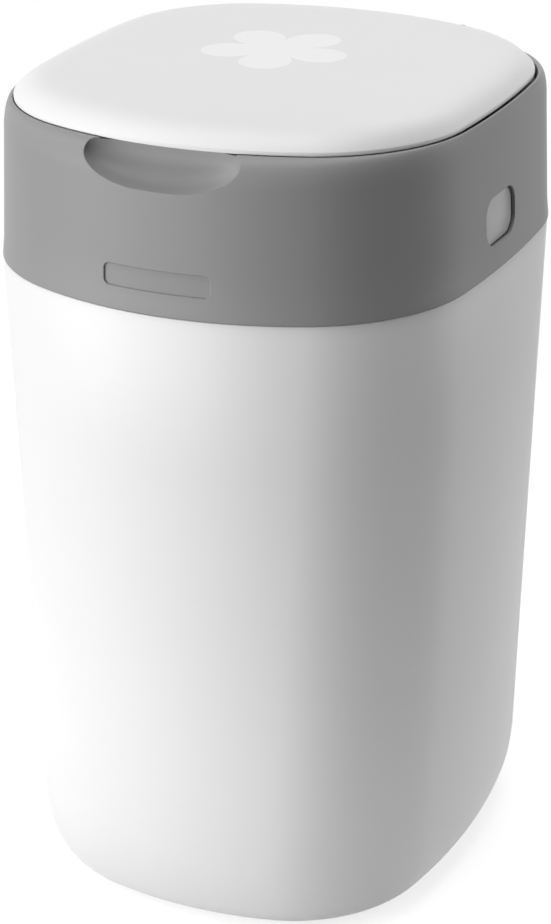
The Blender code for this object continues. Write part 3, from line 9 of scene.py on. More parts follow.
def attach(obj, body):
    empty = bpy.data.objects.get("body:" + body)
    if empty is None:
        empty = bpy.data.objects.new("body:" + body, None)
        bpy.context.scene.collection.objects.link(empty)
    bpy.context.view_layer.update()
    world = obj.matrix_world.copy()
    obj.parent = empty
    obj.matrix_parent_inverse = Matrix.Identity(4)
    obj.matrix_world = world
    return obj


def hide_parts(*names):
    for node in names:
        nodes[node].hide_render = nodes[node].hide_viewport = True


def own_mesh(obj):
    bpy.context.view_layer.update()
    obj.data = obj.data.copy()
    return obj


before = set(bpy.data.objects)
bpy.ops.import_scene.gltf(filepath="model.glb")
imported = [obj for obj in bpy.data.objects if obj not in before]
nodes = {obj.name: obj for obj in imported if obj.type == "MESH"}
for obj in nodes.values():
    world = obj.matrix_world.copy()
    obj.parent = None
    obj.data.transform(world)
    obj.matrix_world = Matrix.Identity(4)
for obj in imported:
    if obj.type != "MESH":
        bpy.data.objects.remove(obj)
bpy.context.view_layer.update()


# Tub. The tall body of the bin, injection moulded in white polypropylene with a satin
# skin. Its walls open out upwards, bulge a little on all four sides, and turn in below
# a crisp line near the floor. A lip stands up inside the head.
MM = 0.001
HEAD_LINE = (250.0, 289.2, 2.1, 7.5, 88.4, 0.0)      # width, depth, two bulges, corner, centre
CREASE = (234.9, 270.1, 3.8, 3.3, 86.5, 0.0)


def inset(section, distance):
    """An outline moved inwards all round."""
    width, depth, side, front, corner, centre = section
    return (width - 2 * distance, depth - 2 * distance, side, front, corner - distance, centre)


def between(section, other, share):
    """The outline that lies a share of the way to another."""
    return tuple(a + (b - a) * share for a, b in zip(section, other))


def outline(section, fine=1):
    """Points round a rounded square with bulged sides, in four equal quarters."""
    width, depth, side, front, corner, centre = section
    across, along = width / 2 - side - corner, depth / 2 - front - corner
    side_radius = (along ** 2 + side ** 2) / (2 * side)
    front_radius = (across ** 2 + front ** 2) / (2 * front)
    turn_one, turn_two = math.asin(along / side_radius), math.pi / 2 - math.asin(across / front_radius)
    arcs = ((across + side - side_radius, 0, side_radius + corner, 0, turn_one, 10 * fine),
            (across, along, corner, turn_one, turn_two, 18 * fine),
            (0, along + front - front_radius, front_radius + corner, turn_two, math.pi / 2, 8 * fine))
    quarter = [(x + radius * math.cos(start + (end - start) * step / steps),
                y + radius * math.sin(start + (end - start) * step / steps))
               for x, y, radius, start, end, steps in arcs for step in range(steps)]
    quarter.append((0, depth / 2))
    back = quarter + [(-x, y) for x, y in reversed(quarter[:-1])]
    return [(x, y + centre) for x, y in back + [(x, -y) for x, y in reversed(back[1:-1])]]


def skin(bm, rows, closed=False):
    """Draw a skin over outlines at their heights, shut at both ends or run back to the first."""
    spots = []
    for section, height in rows + rows[:1] if closed else rows:
        points = outline(section) if len(section) == 6 else section
        places = [Vector((x, y, height)) * MM for x, y in points]
        if not spots:
            spots = [bm.verts.new(place) for place in places]
            loop = [bm.edges.new(pair) for pair in zip(spots, spots[1:] + spots[:1])]
            if not closed:
                bmesh.ops.edgeloop_fill(bm, edges=loop)
            continue
        grown = set(bmesh.ops.extrude_edge_only(bm, edges=loop)["geom"])
        spots = [edge.other_vert(spot) for spot in spots for edge in spot.link_edges
                 if edge.other_vert(spot) in grown]
        for spot, place in zip(spots, places):
            spot.co = place
        loop = [edge for edge in grown if isinstance(edge, bmesh.types.BMEdge)
                and all(spot in grown for spot in edge.verts)]
    if closed:
        bmesh.ops.remove_doubles(bm, verts=bm.verts, dist=0.001 * MM)
    else:
        bmesh.ops.edgeloop_fill(bm, edges=loop)
    bmesh.ops.recalc_face_normals(bm, faces=bm.faces)


def soften(bm, width, sharper=28, edges=None):
    """Round over the edges that turn more sharply than an angle."""
    chosen = [edge for edge in (edges or bm.edges)
              if len(edge.link_faces) == 2 and edge.calc_face_angle(0) > math.radians(sharper)]
    bmesh.ops.bevel(bm, geom=chosen, offset=width * MM, offset_type="OFFSET", segments=2,
                    profile=0.5, affect="EDGES", material=-1, clamp_overlap=True)


def block(bm, outline_points, axis, start, end, soft=0.0):
    """A straight bar of one outline along an axis, its edges softened."""
    part = bmesh.new()
    place = {"X": lambda u, v: (start, u, v), "Y": lambda u, v: (u, start, v),
             "Z": lambda u, v: (u, v, start)}[axis]
    run = {"X": (1, 0, 0), "Y": (0, 1, 0), "Z": (0, 0, 1)}[axis]
    spots = [part.verts.new(Vector(place(u, v)) * MM) for u, v in outline_points]
    face = part.faces.new(spots)
    grown = bmesh.ops.extrude_face_region(part, geom=[face])
    moved = [item for item in grown["geom"] if isinstance(item, bmesh.types.BMVert)]
    bmesh.ops.translate(part, verts=moved, vec=Vector(run) * (end - start) * MM)
    bmesh.ops.recalc_face_normals(part, faces=part.faces)
    if soft:
        soften(part, soft)
    join(bm, part)


def join(bm, part):
    """Add one mesh's faces to another."""
    spare = bpy.data.meshes.new("spare")
    part.to_mesh(spare)
    part.free()
    bm.from_mesh(spare)
    bpy.data.meshes.remove(spare)


def arc(centre, radius, start, end, steps=10):
    """Points along an arc in a plane, angles in degrees."""
    return [(centre[0] + radius * math.cos(math.radians(start + (end - start) * step / steps)),
             centre[1] + radius * math.sin(math.radians(start + (end - start) * step / steps)))
            for step in range(steps + 1)]


def piece(name, bm, material, body, *replaced, smooth=32):
    """Make an object of a mesh and let it ride on a body in place of its plain nodes."""
    mesh = bpy.data.meshes.new(name)
    bm.to_mesh(mesh)
    bm.free()
    mesh.materials.append(material)
    mesh.shade_smooth()
    mesh.set_sharp_from_angle(angle=math.radians(smooth))
    made = bpy.data.objects.new(name, mesh)
    bpy.context.scene.collection.objects.link(made)
    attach(made, body)
    if replaced:
        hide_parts(*replaced)
    return made


def colour(code):
    """An sRGB hex value as linear red, green, blue and alpha."""
    parts = [int(code[at:at + 2], 16) / 255 for at in (1, 3, 5)]
    return [part / 12.92 if part <= 0.04045 else ((part + 0.055) / 1.055) ** 2.4
            for part in parts] + [1.0]


def add(tree, kind, inputs=None, **settings):
    """Add a node with its settings, and set or link its inputs."""
    made = tree.nodes.new(kind)
    for name, value in settings.items():
        setattr(made, name, value)
    for name, value in (inputs or {}).items():
        if isinstance(value, bpy.types.NodeSocket):
            tree.links.new(value, made.inputs[name])
        else:
            made.inputs[name].default_value = value
    return made


def moulded(name, pale, deep, roughness, ior, grain, depth, edge=0.0):
    """A moulded plastic: a faint drift of tone, a fine spark-eroded grain and edges rounded off."""
    material = bpy.data.materials.new(name)
    material.use_nodes = True
    tree = material.node_tree
    shader = tree.nodes["Principled BSDF"]
    place = add(tree, "ShaderNodeTexCoord").outputs["Object"]
    drift = add(tree, "ShaderNodeTexNoise", {"Vector": place, "Scale": 1 / (60 * MM), "Detail": 3.0})
    tone = add(tree, "ShaderNodeMix", {"Factor": drift.outputs["Fac"], "A": colour(pale),
                                       "B": colour(deep)}, data_type="RGBA")
    tree.links.new(tone.outputs[2], shader.inputs["Base Color"])
    skin_grain = add(tree, "ShaderNodeTexNoise", {"Vector": place, "Scale": 1 / (grain * MM),
                                                  "Detail": 2.0})
    sheen = add(tree, "ShaderNodeMapRange", {"Value": skin_grain.outputs["Fac"],
                                             "To Min": roughness - 0.05, "To Max": roughness + 0.05})
    tree.links.new(sheen.outputs["Result"], shader.inputs["Roughness"])
    bump = add(tree, "ShaderNodeBump", {"Height": skin_grain.outputs["Fac"], "Strength": 0.25,
                                        "Distance": depth * MM})
    if edge:
        rounded = add(tree, "ShaderNodeBevel", {"Radius": edge * MM}, samples=6)
        tree.links.new(rounded.outputs["Normal"], bump.inputs["Normal"])
    tree.links.new(bump.outputs["Normal"], shader.inputs["Normal"])
    shader.inputs["IOR"].default_value = ior
    material.diffuse_color = colour(pale)
    return material


# Polypropylene, white, from a lightly spark-eroded mould: satin, with a soft broad sheen
# and no visible grain from a step away. The grain is drawn at 0.9 mm, coarser than it is.
tub_white = moulded("white_polypropylene_satin", "#f5f5f5", "#f2f2f2", 0.42, 1.49, 0.9, 0.02)

tub_top, tub_wall, lean, fullness = inset(HEAD_LINE, 0.5), 2.4, math.tan(math.radians(5)), 2.6
base_inset, crease_height = 25.6, 42.2


def curl(section, height, floor, steps):
    """A base that turns in below a crease, from the floor up: a lean that goes over to a curve."""
    rows = []
    for step in range(steps):
        turn = math.pi / 2 * (1 - step / steps)
        drop = (height - floor) * math.sin(turn) ** (2 / fullness)
        bend = 1 - math.cos(turn) ** (2 / fullness)
        rows.append((inset(section, lean * drop + (base_inset - lean * (height - floor)) * bend),
                     height - drop))
    return rows


inner_crease = inset(CREASE, tub_wall)
rows = curl(CREASE, crease_height, 0.0, 24)
foot = inset(CREASE, base_inset + 7.0)
rows = [(inset(foot, 60.0), 1.3), (inset(foot, 1.0), 1.3), (foot, 0.0)] + rows
rows += [(between(CREASE, tub_top, share), crease_height + (339.3 - crease_height) * share)
         for share in (0.0, 0.25, 0.5, 0.75, 1.0)]
rows += [(inset(HEAD_LINE, 0.7), 339.8), (inset(HEAD_LINE, 1.0), 339.9),
         (inset(HEAD_LINE, 2.9), 339.9), (inset(HEAD_LINE, 3.8), 351.7),
         (inset(HEAD_LINE, 4.2), 352.2), (inset(HEAD_LINE, 5.4), 352.2),
         (inset(HEAD_LINE, 5.8), 351.7), (inset(HEAD_LINE, 5.8), 337.9),
         (inset(HEAD_LINE, 2.9), 327.9), (inner_crease, crease_height)]
rows += list(reversed(curl(inner_crease, crease_height, 3.0, 8)))
rows.append((inset(foot, 60.0), 3.0))
bm = bmesh.new()
skin(bm, rows)
# Keepers for the latch hooks inside the lip, and ears for the head's hinge at the back
head_axis, lid_axis = (149.1, 340.2), (129.9, 417.5)
for side in (1, -1):
    keeper = [(-19.1, 344.2), (-1.1, 344.2), (-1.1, 346.7), (-19.1, 346.7)]
    block(bm, keeper, "X", *sorted((side * 119.8, side * 116.3)), soft=0.3)
    ear = ([(141.4, 326.4), (141.4, 339.7)] + arc(head_axis, 4.5, 186, -60, 20)
           + [(144.6, 326.4)])
    block(bm, ear, "X", *sorted((side * 22.0, side * 31.0)), soft=0.4)
piece("bin_tub", bm, tub_white, "tub", "tub")


# Head shell. The grey collar that carries the works, moulded in one piece: a flared band
# at its foot, drafted walls, a soft shoulder and a pocket for the lid. It has a scoop for
# the fingers, a window for each release button, a shallow plate recess, and hinge lugs.
LID_EDGE = (238.2, 254.1, 1.7, 7.1, 79.1, -1.95)
shoulder, rim = inset(HEAD_LINE, 3.0), inset(LID_EDGE, -2.0)
wall_foot, shoulder_foot, shoulder_rise, ledge = 348.4, 404.2, 14.6, 404.8


def carve(target, operation, tool, crossing=False):
    """Cut one solid with another, or join the two, and keep the result as the mesh."""
    step = target.modifiers.new("carve", "BOOLEAN")
    step.operation, step.solver, step.object, step.use_self = operation, "EXACT", tool, crossing
    bpy.context.view_layer.update()
    graph = bpy.context.evaluated_depsgraph_get()
    made = bpy.data.meshes.new_from_object(target.evaluated_get(graph))
    target.modifiers.clear()
    target.data = made
    bpy.data.objects.remove(tool)


def tool_from(bm):
    """A loose solid to carve with."""
    bmesh.ops.recalc_face_normals(bm, faces=bm.faces)
    mesh = bpy.data.meshes.new("tool")
    bm.to_mesh(mesh)
    bm.free()
    made = bpy.data.objects.new("tool", mesh)
    bpy.context.scene.collection.objects.link(made)
    return made


def put_back(target, bm):
    """Give a carved piece its mesh again, with its edges sharp and its faces smooth."""
    bm.to_mesh(target.data)
    bm.free()
    target.data.shade_smooth()
    target.data.set_sharp_from_angle(angle=math.radians(32))


def bowl(grow, top):
    """The scoop's hollow, grown by its wall: a full oval from above, round below, open upwards."""
    plan = [(math.copysign(abs(x) ** (2 / 3), x), math.copysign(abs(y) ** (2 / 3), y))
            for x, y in arc((0, 0), 1.0, 0, 356.25, 95)]
    turns = [math.radians(0.5 + 89.5 * step / 28) for step in range(29)]
    rows = []
    for share, height in [(math.sin(turn), 415.0 - (15.7 + grow) * math.cos(turn))
                          for turn in turns] + [(1.0, top)]:
        rows.append(([(x * (40.5 + grow) * share - 1.0, y * (13.5 + grow) * share - 136.0)
                      for x, y in plan], height))
    bm = bmesh.new()
    skin(bm, rows)
    return tool_from(bm)


def pill(width, height, corner, centre, steps=8):
    """A rectangle with round corners in a plane."""
    points = []
    for x, y, start in ((1, 1, 0), (-1, 1, 90), (-1, -1, 180), (1, -1, 270)):
        points += arc((centre[0] + x * (width / 2 - corner), centre[1] + y * (height / 2 - corner)),
                      corner, start, start + 90, steps)
    return points


outer = [(inset(HEAD_LINE, 0.3), 340.2), (HEAD_LINE, 340.5), (inset(HEAD_LINE, 0.75), 347.9),
         (inset(HEAD_LINE, 0.85), wall_foot)]
outer += [(between(outer[-1][0], shoulder, share), wall_foot + (shoulder_foot - wall_foot) * share)
          for share in (0.3, 0.7, 1.0)]
for step in range(1, 17):
    turn = math.radians(90 * step / 16)
    outer.append((between(shoulder, rim, 1 - math.cos(turn)),
                  shoulder_foot + shoulder_rise * math.sin(turn)))
rows = outer[:-1] + [(rim, 418.7), (inset(LID_EDGE, -1.75), 418.8), (inset(LID_EDGE, -1.2), 418.8),
                     (inset(LID_EDGE, -1.0), 418.6), (inset(LID_EDGE, -1.0), 411.0),
                     (inset(LID_EDGE, 7.0), 411.0), (inset(LID_EDGE, 7.0), ledge),
                     (inset(HEAD_LINE, 4.8), ledge), (inset(HEAD_LINE, 3.3), 357.2),
                     (inset(HEAD_LINE, 2.5), 353.2), (inset(HEAD_LINE, 2.5), 340.4),
                     (inset(HEAD_LINE, 2.3), 340.2)]
bm = bmesh.new()
skin(bm, rows, closed=True)

# Polypropylene coloured in the mass to a mid grey, from the same kind of mould as the tub
# but a little coarser: matt, with a veiled sheen where it turns to the light.
head_grey = moulded("grey_polypropylene_matt", "#969696", "#939393", 0.46, 1.49, 0.8, 0.03, edge=0.9)
head_grey.node_tree.nodes["Principled BSDF"].inputs["Specular IOR Level"].default_value = 0.35

head = piece("head_collar", bm, head_grey, "head", "head_shell")
core = bmesh.new()
skin(core, [(inset(HEAD_LINE, 3.6), 380.0)]
     + [(inset(between(shoulder, rim, 1 - math.cos(math.radians(turn))), 0.7),
         shoulder_foot + shoulder_rise * math.sin(math.radians(turn)))
        for turn in (0, 15, 30, 45, 60, 80)])
pocket = bmesh.new()
skin(pocket, [(inset(LID_EDGE, -1.0), 417.9), (inset(LID_EDGE, -1.0), 425.0)])
wall = bowl(2.5, 418.5)
carve(wall, "INTERSECT", tool_from(core))
carve(wall, "DIFFERENCE", tool_from(pocket))
carve(head, "UNION", wall)
carve(head, "DIFFERENCE", bowl(0.0, 420.0))

# Windows, the plate recess with its floor parallel to the wall, and slots for the lid's arms
window_place, spring_place = (-10.1, 365.85), (-10.1, 366.5)
tool = bmesh.new()
for side in (1, -1):
    block(tool, pill(38.6, 24.8, 9.4, window_place), "X", *sorted((side * 118.0, side * 127.0)))
carve(head, "DIFFERENCE", tool_from(tool))
floor_form, recess = bmesh.new(), bmesh.new()
plate_depth = 0.9
skin(floor_form, [(inset(HEAD_LINE, 0.85 + plate_depth), wall_foot),
                  (inset(shoulder, plate_depth), shoulder_foot)])
block(recess, pill(56.0, 10.8, 3.0, (-0.9, 357.0)), "Y", -146.5, -137.5)
recess = tool_from(recess)
carve(recess, "DIFFERENCE", tool_from(floor_form))
carve(head, "DIFFERENCE", recess)
arm_spans = ((-45.0, -31.0), (31.0, 45.0))
tool = bmesh.new()
for start, end in arm_spans:
    block(tool, [(111.0, 410.3), (134.5, 410.3), (134.5, 423.1), (111.0, 423.1)], "X",
          start - 0.5, end + 0.5)
carve(head, "DIFFERENCE", tool_from(tool))

# The hinge knuckle on its gusset, and the lugs for the lid's pins
bm = bmesh.new()
bm.from_mesh(head.data)
knuckle = ([(142.7, 340.7)] + arc(head_axis, 4.5, 174, 420, 28) + [(144.6, 354.0), (142.7, 354.0)])
block(bm, knuckle, "X", -21.5, 21.5, soft=0.4)
lug = arc(lid_axis, 3.6, 0, 180, 20) + [(126.3, 411.5), (133.5, 411.5)]
for start, end in arm_spans:
    block(bm, lug, "X", start - 4.5, start - 0.5, soft=0.4)
    block(bm, lug, "X", end + 0.5, end + 4.5, soft=0.4)
put_back(head, bm)


# Head hinge pin. A plain steel pin through the tub's two ears and the head's knuckle, its
# ends chamfered so that it drives in.
def rod(bm, centre, radius, axis, start, end, soft=0.0, steps=32):
    """A round bar along an axis."""
    block(bm, arc(centre, radius, 0, 360 * (steps - 1) / steps, steps - 1), axis, start, end, soft)


# Steel wire and rod, drawn and cut: bright, with fine lines along its length that show only
# as a slight blur in the reflections.
steel = bpy.data.materials.new("drawn_steel")
steel.use_nodes = True
shader = steel.node_tree.nodes["Principled BSDF"]
shader.inputs["Metallic"].default_value = 1.0
place = add(steel.node_tree, "ShaderNodeTexCoord").outputs["Object"]
lines = add(steel.node_tree, "ShaderNodeTexNoise", {"Vector": place, "Scale": 1 / (0.6 * MM)})
blur = add(steel.node_tree, "ShaderNodeMapRange", {"Value": lines.outputs["Fac"], "To Min": 0.22,
                                                   "To Max": 0.38})
steel.node_tree.links.new(blur.outputs["Result"], shader.inputs["Roughness"])
tone = add(steel.node_tree, "ShaderNodeMix", {"Factor": lines.outputs["Fac"], "A": colour("#b4b5b8"),
                                              "B": colour("#a6a7aa")}, data_type="RGBA")
steel.node_tree.links.new(tone.outputs[2], shader.inputs["Base Color"])
bm = bmesh.new()
rod(bm, head_axis, 2.0, "X", -31.0, 31.0, soft=0.4)
piece("hinge_pin_rear", bm, steel, "tub", "head_hinge_pin")


# Deck. The pale floor under the lid with the round well for the refill, moulded in one
# piece and screwed up under the head's ledge. Two seats on the well carry the button springs.
def circle_facing(section, radius):
    """A circle whose points face an outline's points, for a skin between the two."""
    return [(x * radius / math.hypot(x, y), y * radius / math.hypot(x, y))
            for x, y in outline(section)]


deck_grey = moulded("pale_grey_polypropylene", "#cfcfcf", "#cbcbcb", 0.42, 1.49, 0.9, 0.02)
land = inset(LID_EDGE, 9.5)
well = [(circle_facing(land, radius), height) for radius, height in (
    (106.45, 408.5), (101.0, 408.5), (99.6, 408.0), (98.4, 406.8), (98.0, 405.3), (98.0, 349.0),
    (62.0, 349.0), (62.0, 345.0), (100.3, 345.0), (100.3, 399.2), (103.3, 402.2))]
rows = [(LID_EDGE, 404.5), (inset(LID_EDGE, 7.3), 404.5), (inset(LID_EDGE, 7.3), 410.0),
        (land, 410.0)] + well + [(LID_EDGE, 402.2)]
bm = bmesh.new()
skin(bm, rows, closed=True)
soften(bm, 0.4, sharper=40)
deck = piece("head_floor", bm, deck_grey, "head", "head_deck")
carve(deck, "DIFFERENCE", bowl(2.8, 418.5))
bm = bmesh.new()
bm.from_mesh(deck.data)
for side in (1, -1):
    rod(bm, spring_place, 6.5, "X", *sorted((side * 98.3, side * 101.75)), soft=0.3)
    rod(bm, spring_place, 3.0, "X", *sorted((side * 101.4, side * 106.75)), soft=0.5)
put_back(deck, bm)


# Screws. Steel pan heads with a cross recess, driven upwards: four hold the deck under
# the head's ledge, four the gripper's frame under the well.
def turn(bm, profile, steps=128):
    """Spin a closed profile of radius and height about the bin's middle."""
    spots = [bm.verts.new((radius * MM, 0, height * MM)) for radius, height in profile]
    edges = [bm.edges.new(pair) for pair in zip(spots, spots[1:] + spots[:1])]
    bmesh.ops.spin(bm, geom=spots + edges, cent=(0, 0, 0), axis=(0, 0, 1), dvec=(0, 0, 0),
                   angle=2 * math.pi, steps=steps, use_merge=True, use_duplicate=False)
    bmesh.ops.remove_doubles(bm, verts=bm.verts, dist=0.001 * MM)
    bmesh.ops.recalc_face_normals(bm, faces=bm.faces)


def screw(name, x, y, bearing, length, replaced):
    """One screw, its head under a bearing face and its shank upwards."""
    bm = bmesh.new()
    rod(bm, (x, y), 3.0, "Z", bearing - 2.3, bearing - 0.3, soft=0.7)
    rod(bm, (x, y), 1.5, "Z", bearing - 1.0, bearing + length - 0.3)
    made = piece(name, bm, steel, "head", replaced)
    cross = bmesh.new()
    for long, wide in ((1.7, 0.32), (0.32, 1.7)):
        block(cross, [(x - long, y - wide), (x + long, y - wide), (x + long, y + wide),
                      (x - long, y + wide)], "Z", bearing - 3.0, bearing - 1.3)
    carve(made, "DIFFERENCE", tool_from(cross), crossing=True)


for index, (x, y) in enumerate(((1, 1), (-1, 1), (-1, -1), (1, -1)), start=1):
    screw(f"deck_fixing_{index}", x * 91.76, -1.95 + y * 94.31, 402.2, 7.0, f"deck_screw_{index}")
    screw(f"gripper_fixing_{index}", x * 58.0, y * 58.0, 338.5, 9.2, f"gripper_screw_{index}")


# Gripper. Twelve soft fingers, slit from one moulded elastomer cone, hold the twisted film;
# their rim is clamped under the well by a flat ring with a step.
bm = bmesh.new()
turn(bm, ((66.0, 338.5), (66.0, 342.6), (73.8, 342.6), (73.8, 344.7), (90.0, 344.7), (90.0, 338.5)))
soften(bm, 0.5)
piece("gripper_clamp_ring", bm, deck_grey, "head", "gripper_frame")

# Thermoplastic elastomer, dark grey: soft and matt, with the faint bloom it keeps from
# the mould.
elastomer = moulded("grey_elastomer", "#55575a", "#4f5154", 0.62, 1.50, 0.7, 0.04)
bm = bmesh.new()
turn(bm, ((73.5, 344.7), (64.0, 344.7), (62.5, 343.9), (48.0, 334.7), (34.0, 328.6), (32.0, 327.7),
          (31.9, 327.0), (32.4, 326.5), (48.0, 333.5), (62.0, 342.0), (64.0, 342.9), (73.5, 342.9)), 144)
fingers = piece("gripper_finger_cone", bm, elastomer, "head", "gripper_fingers")
slits = bmesh.new()
for finger in range(12):
    slit = bmesh.new()
    block(slit, pill(32.0, 2.0, 0.95, (46.0, 0.0), 5), "Z", 310.0, 347.0)
    bmesh.ops.rotate(slit, verts=slit.verts, cent=(0, 0, 0),
                     matrix=Matrix.Rotation(math.radians(15 + 30 * finger), 3, "Z"))
    join(slits, slit)
carve(fingers, "DIFFERENCE", tool_from(slits))


# Film cutter. A small V-mouthed housing under the front of the gripper's ring, with a
# steel blade across the root of the V, out of reach of fingers.
bm = bmesh.new()
block(bm, [(-15.0, -66.0), (-15.0, -84.0), (15.0, -84.0), (15.0, -66.0), (7.0, -66.0), (0.6, -78.0),
           (-0.6, -78.0), (-7.0, -66.0)], "Z", 330.2, 338.2, soft=0.5)
piece("film_cutter_housing", bm, head_grey, "head", "cutter_housing")
blade = nodes["cutter_blade"]
blade.data.materials.clear()
blade.data.materials.append(steel)


# Click pawl. A bent strip of spring steel on the well's wall; its nose drops into the
# ratchet teeth round the tray, clicks as the tray turns, and stops it turning back.
pawl = nodes["click_pawl"]
pawl.data.materials.clear()
pawl.data.materials.append(steel)


# Tray. The turning cup in the well that takes the refill, moulded in pale grey, with
# thirty-six ratchet teeth round its foot and a spigot that runs in the well's bore.
bm = bmesh.new()
turn(bm, ((57.5, 345.5), (57.5, 392.8), (59.7, 392.8), (59.7, 351.5), (89.6, 351.5), (89.6, 401.0),
          (92.0, 401.0), (92.0, 349.3), (61.2, 349.3), (61.2, 345.5)), 144)
soften(bm, 0.35)
teeth, band = [], []
for tooth in range(36):
    for share in (0.0, 0.2, 0.4, 0.6, 0.8):
        angle, radius = math.radians(10 * (tooth + share)), 91.9 + 2.25 * share / 0.8
        teeth.append((radius * math.cos(angle), radius * math.sin(angle)))
        band.append((91.0 * math.cos(angle), 91.0 * math.sin(angle)))
toothed = bmesh.new()
skin(toothed, [(teeth, 352.2), (teeth, 358.2), (band, 358.2), (band, 352.2)], closed=True)
join(bm, toothed)
piece("turning_tray", bm, deck_grey, "twist", "cassette_tray")


# Twist ring. The grip that turns the tray, a rounded ring with ten finger scallops on its
# inner edge, pressed over the tray's rim.
def scalloped(radius, wave):
    """A circle whose edge draws back ten times round."""
    points = []
    for step in range(240):
        angle = 2 * math.pi * step / 240
        reach = radius + wave * (1 - math.cos(10 * angle)) / 2
        points.append((reach * math.cos(angle), reach * math.sin(angle)))
    return points


bm = bmesh.new()
skin(bm, [(scalloped(radius, wave), height) for radius, wave, height in (
    (97.0, 0.0, 401.3), (97.0, 0.0, 403.4), (96.6, 0.1, 405.0), (95.7, 0.3, 406.5), (94.5, 0.6, 407.6),
    (93.1, 1.0, 408.2), (91.6, 1.6, 408.0), (90.3, 2.3, 407.2), (89.5, 2.8, 406.2), (89.2, 3.0, 405.0),
    (89.2, 2.6, 403.4), (89.2, 1.0, 402.0), (89.2, 0.0, 401.3), (92.6, 0.0, 401.3),
    (92.6, 0.0, 396.3), (94.3, 0.0, 396.3), (94.3, 0.0, 401.3))], closed=True)
piece("twist_grip_ring", bm, head_grey, "twist", "twist_ring")


# Refill. A ring-shaped cup of white polystyrene packed with pleated film; the film comes
# out of the slot between the cap and the inner wall and down through the middle.
cassette_white = moulded("white_polystyrene", "#e9eced", "#e5e8e9", 0.30, 1.59, 1.2, 0.01)
bm = bmesh.new()
turn(bm, ((60.2, 351.8), (60.2, 392.8), (61.7, 392.8), (61.7, 353.3), (87.1, 353.3), (87.1, 392.8),
          (88.6, 392.8), (88.6, 351.8)))
soften(bm, 0.3)
piece("refill_cup", bm, cassette_white, "twist", "cassette_body")
bm = bmesh.new()
turn(bm, ((62.9, 391.6), (62.9, 394.2), (63.5, 395.3), (64.8, 396.0), (66.4, 396.1), (70.0, 396.1),
          (70.8, 395.5), (80.6, 395.5), (81.4, 396.1), (84.9, 396.1), (86.6, 395.6), (87.9, 394.6),
          (88.6, 393.1), (86.8, 393.1), (84.1, 394.6), (65.9, 394.6), (64.4, 391.6)), 144)
piece("refill_cap", bm, cassette_white, "twist", "cassette_cap")

# Polyethylene film with a barrier layer, pale blue and thin: clear where it lies single,
# milky where many pleats lie on each other, with soft creases.
film = bpy.data.materials.new("pale_blue_polyethylene_film")
film.use_nodes = True
shader = film.node_tree.nodes["Principled BSDF"]
shader.inputs["Roughness"].default_value = 0.28
shader.inputs["IOR"].default_value = 1.51
place = add(film.node_tree, "ShaderNodeTexCoord").outputs["Object"]
crease = add(film.node_tree, "ShaderNodeTexNoise", {"Vector": place, "Scale": 1 / (6 * MM),
                                                    "Detail": 4.0, "Distortion": 1.5})
tone = add(film.node_tree, "ShaderNodeMix", {"Factor": crease.outputs["Fac"],
                                             "A": colour("#cfdde6"), "B": colour("#b8cbd8")},
           data_type="RGBA")
film.node_tree.links.new(tone.outputs[2], shader.inputs["Base Color"])
bump = add(film.node_tree, "ShaderNodeBump", {"Height": crease.outputs["Fac"], "Strength": 0.6,
                                              "Distance": 0.4 * MM})
film.node_tree.links.new(bump.outputs["Normal"], shader.inputs["Normal"])
pleats = 22
inside, outside = [], []
for pleat in range(pleats + 1):
    height = 353.7 + 33.8 * pleat / pleats
    inside.append((63.5, height))
    outside.append((85.4, height))
    if pleat < pleats:
        inside.append((62.4, height + 16.9 / pleats))
        outside.append((86.4, height + 16.9 / pleats))
bm = bmesh.new()
turn(bm, inside + outside[::-1], 96)
for spot in bm.verts:
    angle = math.atan2(spot.co.y, spot.co.x)
    swell = 0.12 * math.sin(23 * angle + 400 * spot.co.z) + 0.08 * math.sin(41 * angle - 900 * spot.co.z)
    spot.co.xy *= 1 + swell * MM / spot.co.xy.length
piece("pleated_film", bm, film, "twist", "film_pack")


# Lid. A shallow domed cover, moulded in white polypropylene, set in the head's pocket with
# its foot level with the rim, over a dished liner. A flower is printed on it, a shade whiter.
cover_white = moulded("lid_polypropylene_satin", "#f0f0f0", "#eeeeee", 0.40, 1.49, 0.9, 0.02)
tree = cover_white.node_tree
shader = tree.nodes["Principled BSDF"]
place = add(tree, "ShaderNodeTexCoord").outputs["Object"]
print_place = add(tree, "ShaderNodeMapping", {"Vector": place, "Location": (0.008, -0.014, 0.0)})
split = add(tree, "ShaderNodeSeparateXYZ", {"Vector": print_place.outputs["Vector"]})
angle = add(tree, "ShaderNodeMath", {0: split.outputs["Y"], 1: split.outputs["X"]},
            operation="ARCTAN2")
five = add(tree, "ShaderNodeMath", {0: angle.outputs[0], 1: 2.5, 2: 0.35}, operation="MULTIPLY_ADD")
petal = add(tree, "ShaderNodeMath", {0: five.outputs[0]}, operation="COSINE")
petal = add(tree, "ShaderNodeMath", {0: petal.outputs[0]}, operation="ABSOLUTE")
petal = add(tree, "ShaderNodeMath", {0: petal.outputs[0], 1: 0.55}, operation="POWER")
reach = add(tree, "ShaderNodeMath", {0: petal.outputs[0], 1: 24 * MM, 2: 15 * MM},
            operation="MULTIPLY_ADD")
across = add(tree, "ShaderNodeMath", {0: split.outputs["X"], 1: split.outputs["X"]}, operation="MULTIPLY")
along = add(tree, "ShaderNodeMath", {0: split.outputs["Y"], 1: split.outputs["Y"], 2: across.outputs[0]},
            operation="MULTIPLY_ADD")
length = add(tree, "ShaderNodeMath", {0: along.outputs[0]}, operation="SQRT")
short = add(tree, "ShaderNodeMath", {0: reach.outputs[0], 1: length.outputs[0]}, operation="SUBTRACT")
printed = add(tree, "ShaderNodeMapRange", {"Value": short.outputs[0], "From Min": 0.0,
                                           "From Max": 0.25 * MM})
old = shader.inputs["Base Color"].links[0].from_socket
